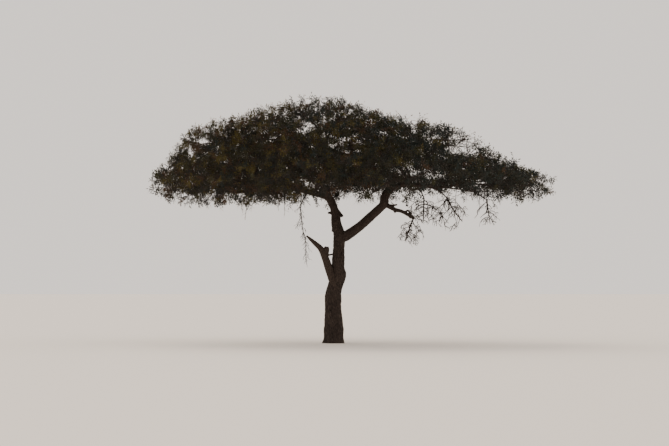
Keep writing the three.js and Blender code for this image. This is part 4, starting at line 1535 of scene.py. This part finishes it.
class ACACIA_OT_trunk(bpy.types.Operator):
    """Makes the trunk and the main limbs as one skin of fissured bark"""

    bl_idname = "acacia.trunk"
    bl_label = "Trunk and main limbs"

    def execute(self, context):
        sizes, colours = context.scene.acacia_sizes, context.scene.acacia_colours
        limbs = all_limbs()
        names = [name for chain in CHAINS for name in chain]
        collar = Limb(FORK_COLLAR, COLLAR_RADII, 0, COLLAR_BEND)
        rolled = [(limbs[name], SUNK_ROOTS.get(name, 0)) for name in names]
        bm = skin_of([*rolled, (collar, COLLAR_SUNK)], LIMB_SNAGS, LIMB_LUMPS, LIMB_SIDES, SKIN_LOSS)
        skin = remeshed(bm, sizes.skin_voxel, LIMB_SMOOTHING)
        grain = [[limbs[name] for name in chain] for chain in CHAINS]
        carve_bark(skin, grain, sizes.bark_depth, sizes.bark_spacing, sizes.bark_stretch)
        cut_level(skin)
        piece = link_piece("trunk_and_limbs", skin)
        # Old acacia bark, split by growth: rough and dull, nearly black in its cracks, greyer on its plates.
        tones = (colours.fissure, colours.plate, colours.weathered)
        bark = bark_material("fissured_bark", tones, sizes.bark_spacing * TRUNK_CRACKS, on_grain=True)
        skin.materials.append(bark)
        settle(piece, names)
        return {"FINISHED"}


class ACACIA_OT_broken_stem(bpy.types.Operator):
    """Makes the broken dead stem beside the trunk"""

    bl_idname = "acacia.broken_stem"
    bl_label = "Broken dead stem"

    def execute(self, context):
        sizes, colours = context.scene.acacia_sizes, context.scene.acacia_colours
        stem = all_limbs()["broken_stub"]
        rolled = [(stem, SUNK_ROOTS["broken_stub"])]
        bm = skin_of(rolled, STEM_SNAGS, STEM_LUMPS, STEM_SIDES, SKIN_LOSS * STEM_SKIN_LOSS)
        skin = remeshed(bm, sizes.skin_voxel * STEM_VOXEL, STEM_SMOOTHING)
        spacing = sizes.bark_spacing * STEM_SPACING
        carve_bark(skin, [[stem]], sizes.bark_depth * STEM_DEPTH, spacing, sizes.bark_stretch * STEM_STRETCH)
        piece = link_piece("broken_stem", skin)
        # Bare acacia wood, split and bleached by the weather: long fine cracks in a dull grey-brown face.
        tones = (colours.dead_crack, colours.dead_wood, colours.weathered)
        wood = bark_material("weathered_dead_wood", tones, sizes.bark_spacing * STEM_CRACKS, on_grain=True)
        skin.materials.append(wood)
        settle(piece, ["broken_stub"])
        return {"FINISHED"}


class ACACIA_OT_boughs(bpy.types.Operator):
    """Makes the crooked boughs that carry the masses of the crown and the drooping twigs"""

    bl_idname = "acacia.boughs"
    bl_label = "Boughs of the crown"

    def execute(self, context):
        sizes, colours = context.scene.acacia_sizes, context.scene.acacia_colours
        limbs = all_limbs()
        names = [name for name in limbs if "_bough_" in name]
        bm = bmesh.new()
        for name in names:
            limb = limbs[name]
            share = min(limb.root / FULL_RADIUS, 1)
            relief = (sizes.bark_depth * share, sizes.bark_spacing * share, sizes.bark_stretch)
            roll_limb(bm, limb, BOUGH_SIDES, BOUGH_RING_STEP, relief)
        mesh = bpy.data.meshes.new("crown_boughs")
        bm.to_mesh(mesh)
        bm.free()
        for polygon in mesh.polygons:
            polygon.use_smooth = True
        # Younger acacia bark: the same dull dark face, with finer and closer cracks.
        tones = (colours.fissure, colours.plate, colours.weathered)
        bark = bark_material("bough_bark", tones, sizes.bark_spacing * BOUGH_CRACKS, on_grain=False)
        mesh.materials.append(bark)
        settle(link_piece("crown_boughs", mesh), names)
        return {"FINISHED"}


class ACACIA_OT_foliage(bpy.types.Operator):
    """Makes the twigs and the leaves of every foliage mass"""

    bl_idname = "acacia.foliage"
    bl_label = "Twigs and leaves"

    def execute(self, context):
        sizes, colours = context.scene.acacia_sizes, context.scene.acacia_colours
        random = np.random.default_rng(LOOKS_SEED)
        shapes = {
            (kind, variant): spray_shape(SPRAY_SEED + 10 * kind + variant, kind, sizes)
            for kind in (LEAFY, SPARSE, SPIKE, FRINGE)
            for variant in range(VARIANTS)
        }
        woods, sprays = grown_crown()
        roots, directions, rolls, scales, kinds, masses = sprays.arrays()
        lengths = sizes.spray_length * scales * SPRAY_LENGTHS[kinds]
        tips = roots + directions * lengths[:, None]
        gone, bare = in_opening(roots + (tips - roots) * 0.5, random)
        kinds = np.where(bare, SPIKE, kinds)
        hang = swag_at(tips)
        keep = ~gone & (tips[:, 2] < HIGHEST_LEAF)
        keep &= well_inside(tips, LEAF_SHARE, -OVERSHOOT_FLOOR - hang, -OVERSHOOT_TOP)
        keep &= well_inside(tips, LEAF_SHARE, -hang, LEAF_TOP) | (kinds == FRINGE) | (kinds == SPIKE)
        variants = random.integers(0, VARIANTS, len(roots))
        # Each spray's tone, with painted sunlight and painted shade in it.
        tones = tone_of(roots, random)
        frames = bases(directions, rolls)
        leaf_parts = [[] for _ in woods]
        twig_parts = [[] for _ in woods]
        for (kind, variant), (wood, leaves) in shapes.items():
            for mass in range(len(woods)):
                chosen = np.flatnonzero(keep & (kinds == kind) & (variants == variant) & (masses == mass))
                if not len(chosen):
                    continue
                for shape, parts in ((wood, twig_parts), (leaves, leaf_parts)):
                    if shape is None:
                        continue
                    points, faces = shape
                    copies = np.einsum("nk,mkj->mnj", points, frames[chosen])
                    copies = copies * scales[chosen][:, None, None] + roots[chosen][:, None]
                    tone = np.repeat(tones[chosen], len(faces))
                    parts[mass].append((*joined(copies, faces), tone))
        for mass, wood in enumerate(woods):
            points, faces = wood.mesh(TWIG_SIDES)
            twig_parts[mass].append((points, faces, np.zeros(len(faces))))
        leaf_looks = [leaf_material(name, linear(colour)) for name, colour in LEAF_TONES.items()]
        # Thin young acacia bark: dull and brown, hardly cracked.
        twig_tones = (colours.fissure, colours.twig, colours.weathered)
        twig_look = bark_material("twig_bark", twig_tones, TWIG_CRACKS, on_grain=False)
        self.make_pieces("crown_leaves", leaf_parts, leaf_looks, True)
        self.make_pieces("crown_twigs", twig_parts, [twig_look], False)
        return {"FINISHED"}

    def make_pieces(self, name, parts, looks, toned):
        """Joins the parts of neighbouring masses into pieces that stay small enough."""
        counts = [sum(len(faces) for _, faces, _ in own) for own in parts]
        for number, group in enumerate(groups_under(counts, MOST_TRIANGLES), start=1):
            chosen = [part for mass in group for part in parts[mass]]
            points, faces = merged([part[:2] for part in chosen])
            tones = np.concatenate([part[2] for part in chosen]) if toned else None
            piece = array_piece(f"{name}_{number}", points, faces, looks, tones, smooth=not toned)
            settle(piece, [SPACES[mass].name for mass in group])


class ACACIA_OT_bare_twigs(bpy.types.Operator):
    """Makes the bare twigs that hang under the crown"""

    bl_idname = "acacia.bare_twigs"
    bl_label = "Bare hanging twigs"

    # Places tried for the fine tips of each space, the most tips that each has, their radius and facets.
    THROWS = 900
    FINE_TIPS = (95, 110, 120, 45)
    TIP_RADIUS = 0.008
    SIDES = 4
    # The hanging twig: its rings, how far they are thrown off line, its facets, and the number, the lengths
    # and the radii of its side twigs.
    HANGING_RINGS = 40
    HANGING_THROW = 0.012
    HANGING_SIDES = 6
    HANGING_TWIGS = 46
    SIDE_LENGTHS = (0.1, 0.36)
    SIDE_RADII = (0.0075, 0.006)
    SIDE_CROOK = 0.05
    # The part of the hanging twig that has side twigs, their drop below the level in degrees, and their arch.
    # Then the arch of the fine twigs, as a share of their length.
    SIDE_PART = (0.12, 0.97)
    SIDE_DROP = (-85, -20)
    SIDE_ARCH = 0.02
    FINE_ARCH = (0.1, 0.3)

    def execute(self, context):
        colours = context.scene.acacia_colours
        random = np.random.default_rng(BARE_SEED)
        limbs = all_limbs()
        parts = []
        for space, most_tips in zip(BARE_SPACES, self.FINE_TIPS):
            carrier = limbs[space.name.replace("elbow_twigs", "elbow_branch").replace("twigs", "bough")]
            wood = first_wood(space, carrier, random)
            start = carrier.path.at(1.0)
            points = space.at(random.uniform(-1, 1, (self.THROWS, 3)))
            points = points[inside_space(points, space)][:most_tips]
            for tip in points[np.argsort(np.linalg.norm(points - start, axis=1))]:
                twig = wood.grow_to(tip, random.uniform(*self.FINE_ARCH), self.TIP_RADIUS)
                add_twiglets(wood, twig, random)
            parts.append(wood.mesh(self.SIDES))
        parts.append(self.hanging(limbs["hanging_twig"], random))
        points, faces = merged(parts)
        # Dry acacia twigs: dull, a little greyer than the living ones.
        tones = (colours.fissure, colours.twig, colours.dead_wood)
        look = bark_material("dry_twig", tones, TWIG_CRACKS, on_grain=False)
        piece = array_piece("bare_twigs", points, faces, [look], smooth=True)
        names = [space.name for space in BARE_SPACES]
        settle(piece, [*names, "hanging_twig"])
        return {"FINISHED"}

    def hanging(self, limb, random):
        """The long dead twig on the left, with short dry side twigs."""
        shares = np.linspace(0, 1, self.HANGING_RINGS)
        thrown = random.uniform(-self.HANGING_THROW, self.HANGING_THROW, (self.HANGING_RINGS, 3))
        main = tubes((limb.path.at(shares) + thrown)[None], limb.radius(shares)[None], self.HANGING_SIDES)
        wood = Wood(random)
        for share in np.linspace(*self.SIDE_PART, self.HANGING_TWIGS):
            root = limb.path.at(share)
            way = turned((1, 0, 0), random.uniform(0, 360), random.uniform(*self.SIDE_DROP))
            tip = root + way * random.uniform(*self.SIDE_LENGTHS)
            middle = (root + tip) / 2 + UP * self.SIDE_ARCH
            twig = wood.add([root, middle, tip], *self.SIDE_RADII, self.SIDE_CROOK)
            add_twiglets(wood, twig, random)
        return merged([main, wood.mesh(TWIG_SIDES)])


class ACACIA_OT_stage(bpy.types.Operator):
    """Sets the plain floor, the soft light and the camera"""

    bl_idname = "acacia.stage"
    bl_label = "Stage"

    FLOOR_RADIUS = 900
    FLOOR_SEGMENTS = 96
    SURROUND_COLOUR = "#f6ede4"
    SURROUND_STRENGTH = 1.3
    LAMP_COLOUR = "#fff2e2"
    LAMP_ENERGY = 1.6
    LAMP_SPREAD = math.radians(50)
    LAMP_TURN = (math.radians(-38), math.radians(-24), 0)
    FAR_CLIP = 2000

    def execute(self, context):
        colours = context.scene.acacia_colours
        bm = bmesh.new()
        bmesh.ops.create_circle(bm, cap_ends=True, segments=self.FLOOR_SEGMENTS, radius=self.FLOOR_RADIUS)
        mesh = bpy.data.meshes.new("floor")
        bm.to_mesh(mesh)
        bm.free()
        floor = link_piece("floor", mesh)
        # Matt paint on a plain floor: pale and even, with no mirror image in it.
        look, _, _ = new_material("matt_floor", Base_Color=(*colours.floor, 1), Roughness=0.9)
        mesh.materials.append(look)
        self.add_light(context)
        self.add_camera(context)
        return {"FINISHED"}

    def add_light(self, context):
        """An even pale surround, and one very wide soft lamp high at the back left."""
        world = bpy.data.worlds.new("studio")
        world.use_nodes = True
        surround = world.node_tree.nodes["Background"]
        surround.inputs["Color"].default_value = (*linear(self.SURROUND_COLOUR), 1)
        surround.inputs["Strength"].default_value = self.SURROUND_STRENGTH
        context.scene.world = world
        data = bpy.data.lights.new("soft_key", "SUN")
        data.energy = self.LAMP_ENERGY
        data.angle = self.LAMP_SPREAD
        data.color = linear(self.LAMP_COLOUR)
        lamp = bpy.data.objects.new("soft_key", data)
        lamp.rotation_euler = self.LAMP_TURN
        context.scene.collection.objects.link(lamp)

    def add_camera(self, context):
        """The camera of the front view, aimed at the middle of the tree."""
        data = bpy.data.cameras.new("camera")
        data.lens = LENS_MM
        data.sensor_width = SENSOR_MM
        data.clip_end = self.FAR_CLIP
        camera = bpy.data.objects.new("camera", data)
        camera.location = EYE
        aim = Vector((EYE[0], 0, AIM_HEIGHT)) - Vector(EYE)
        camera.rotation_euler = aim.to_track_quat("-Z", "Y").to_euler()
        context.scene.collection.objects.link(camera)
        context.scene.camera = camera


class ACACIA_PT_panel(bpy.types.Panel):
    """Lists the pieces of the acacia and their sizes and colours"""

    bl_idname = "ACACIA_PT_panel"
    bl_label = "Acacia"
    bl_space_type = "VIEW_3D"
    bl_region_type = "UI"
    bl_category = "Acacia"

    def draw(self, context):
        for group in (context.scene.acacia_sizes, context.scene.acacia_colours):
            for name in group.__annotations__:
                self.layout.prop(group, name)
        for operator in OPERATORS:
            self.layout.operator(operator.bl_idname)


OPERATORS = (
    ACACIA_OT_trunk,
    ACACIA_OT_broken_stem,
    ACACIA_OT_boughs,
    ACACIA_OT_foliage,
    ACACIA_OT_bare_twigs,
    ACACIA_OT_stage,
)
CLASSES = (AcaciaSizes, AcaciaColours, *OPERATORS, ACACIA_PT_panel)


def register():
    for item in CLASSES:
        bpy.utils.register_class(item)
    bpy.types.Scene.acacia_sizes = bpy.props.PointerProperty(type=AcaciaSizes)
    bpy.types.Scene.acacia_colours = bpy.props.PointerProperty(type=AcaciaColours)


def unregister():
    del bpy.types.Scene.acacia_colours
    del bpy.types.Scene.acacia_sizes
    for item in reversed(CLASSES):
        bpy.utils.unregister_class(item)


def main():
    register()
    bpy.ops.acacia.trunk()
    bpy.ops.acacia.broken_stem()
    bpy.ops.acacia.boughs()
    bpy.ops.acacia.foliage()
    bpy.ops.acacia.bare_twigs()
    bpy.ops.acacia.stage()
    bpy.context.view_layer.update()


if __name__ == "__main__":
    main()
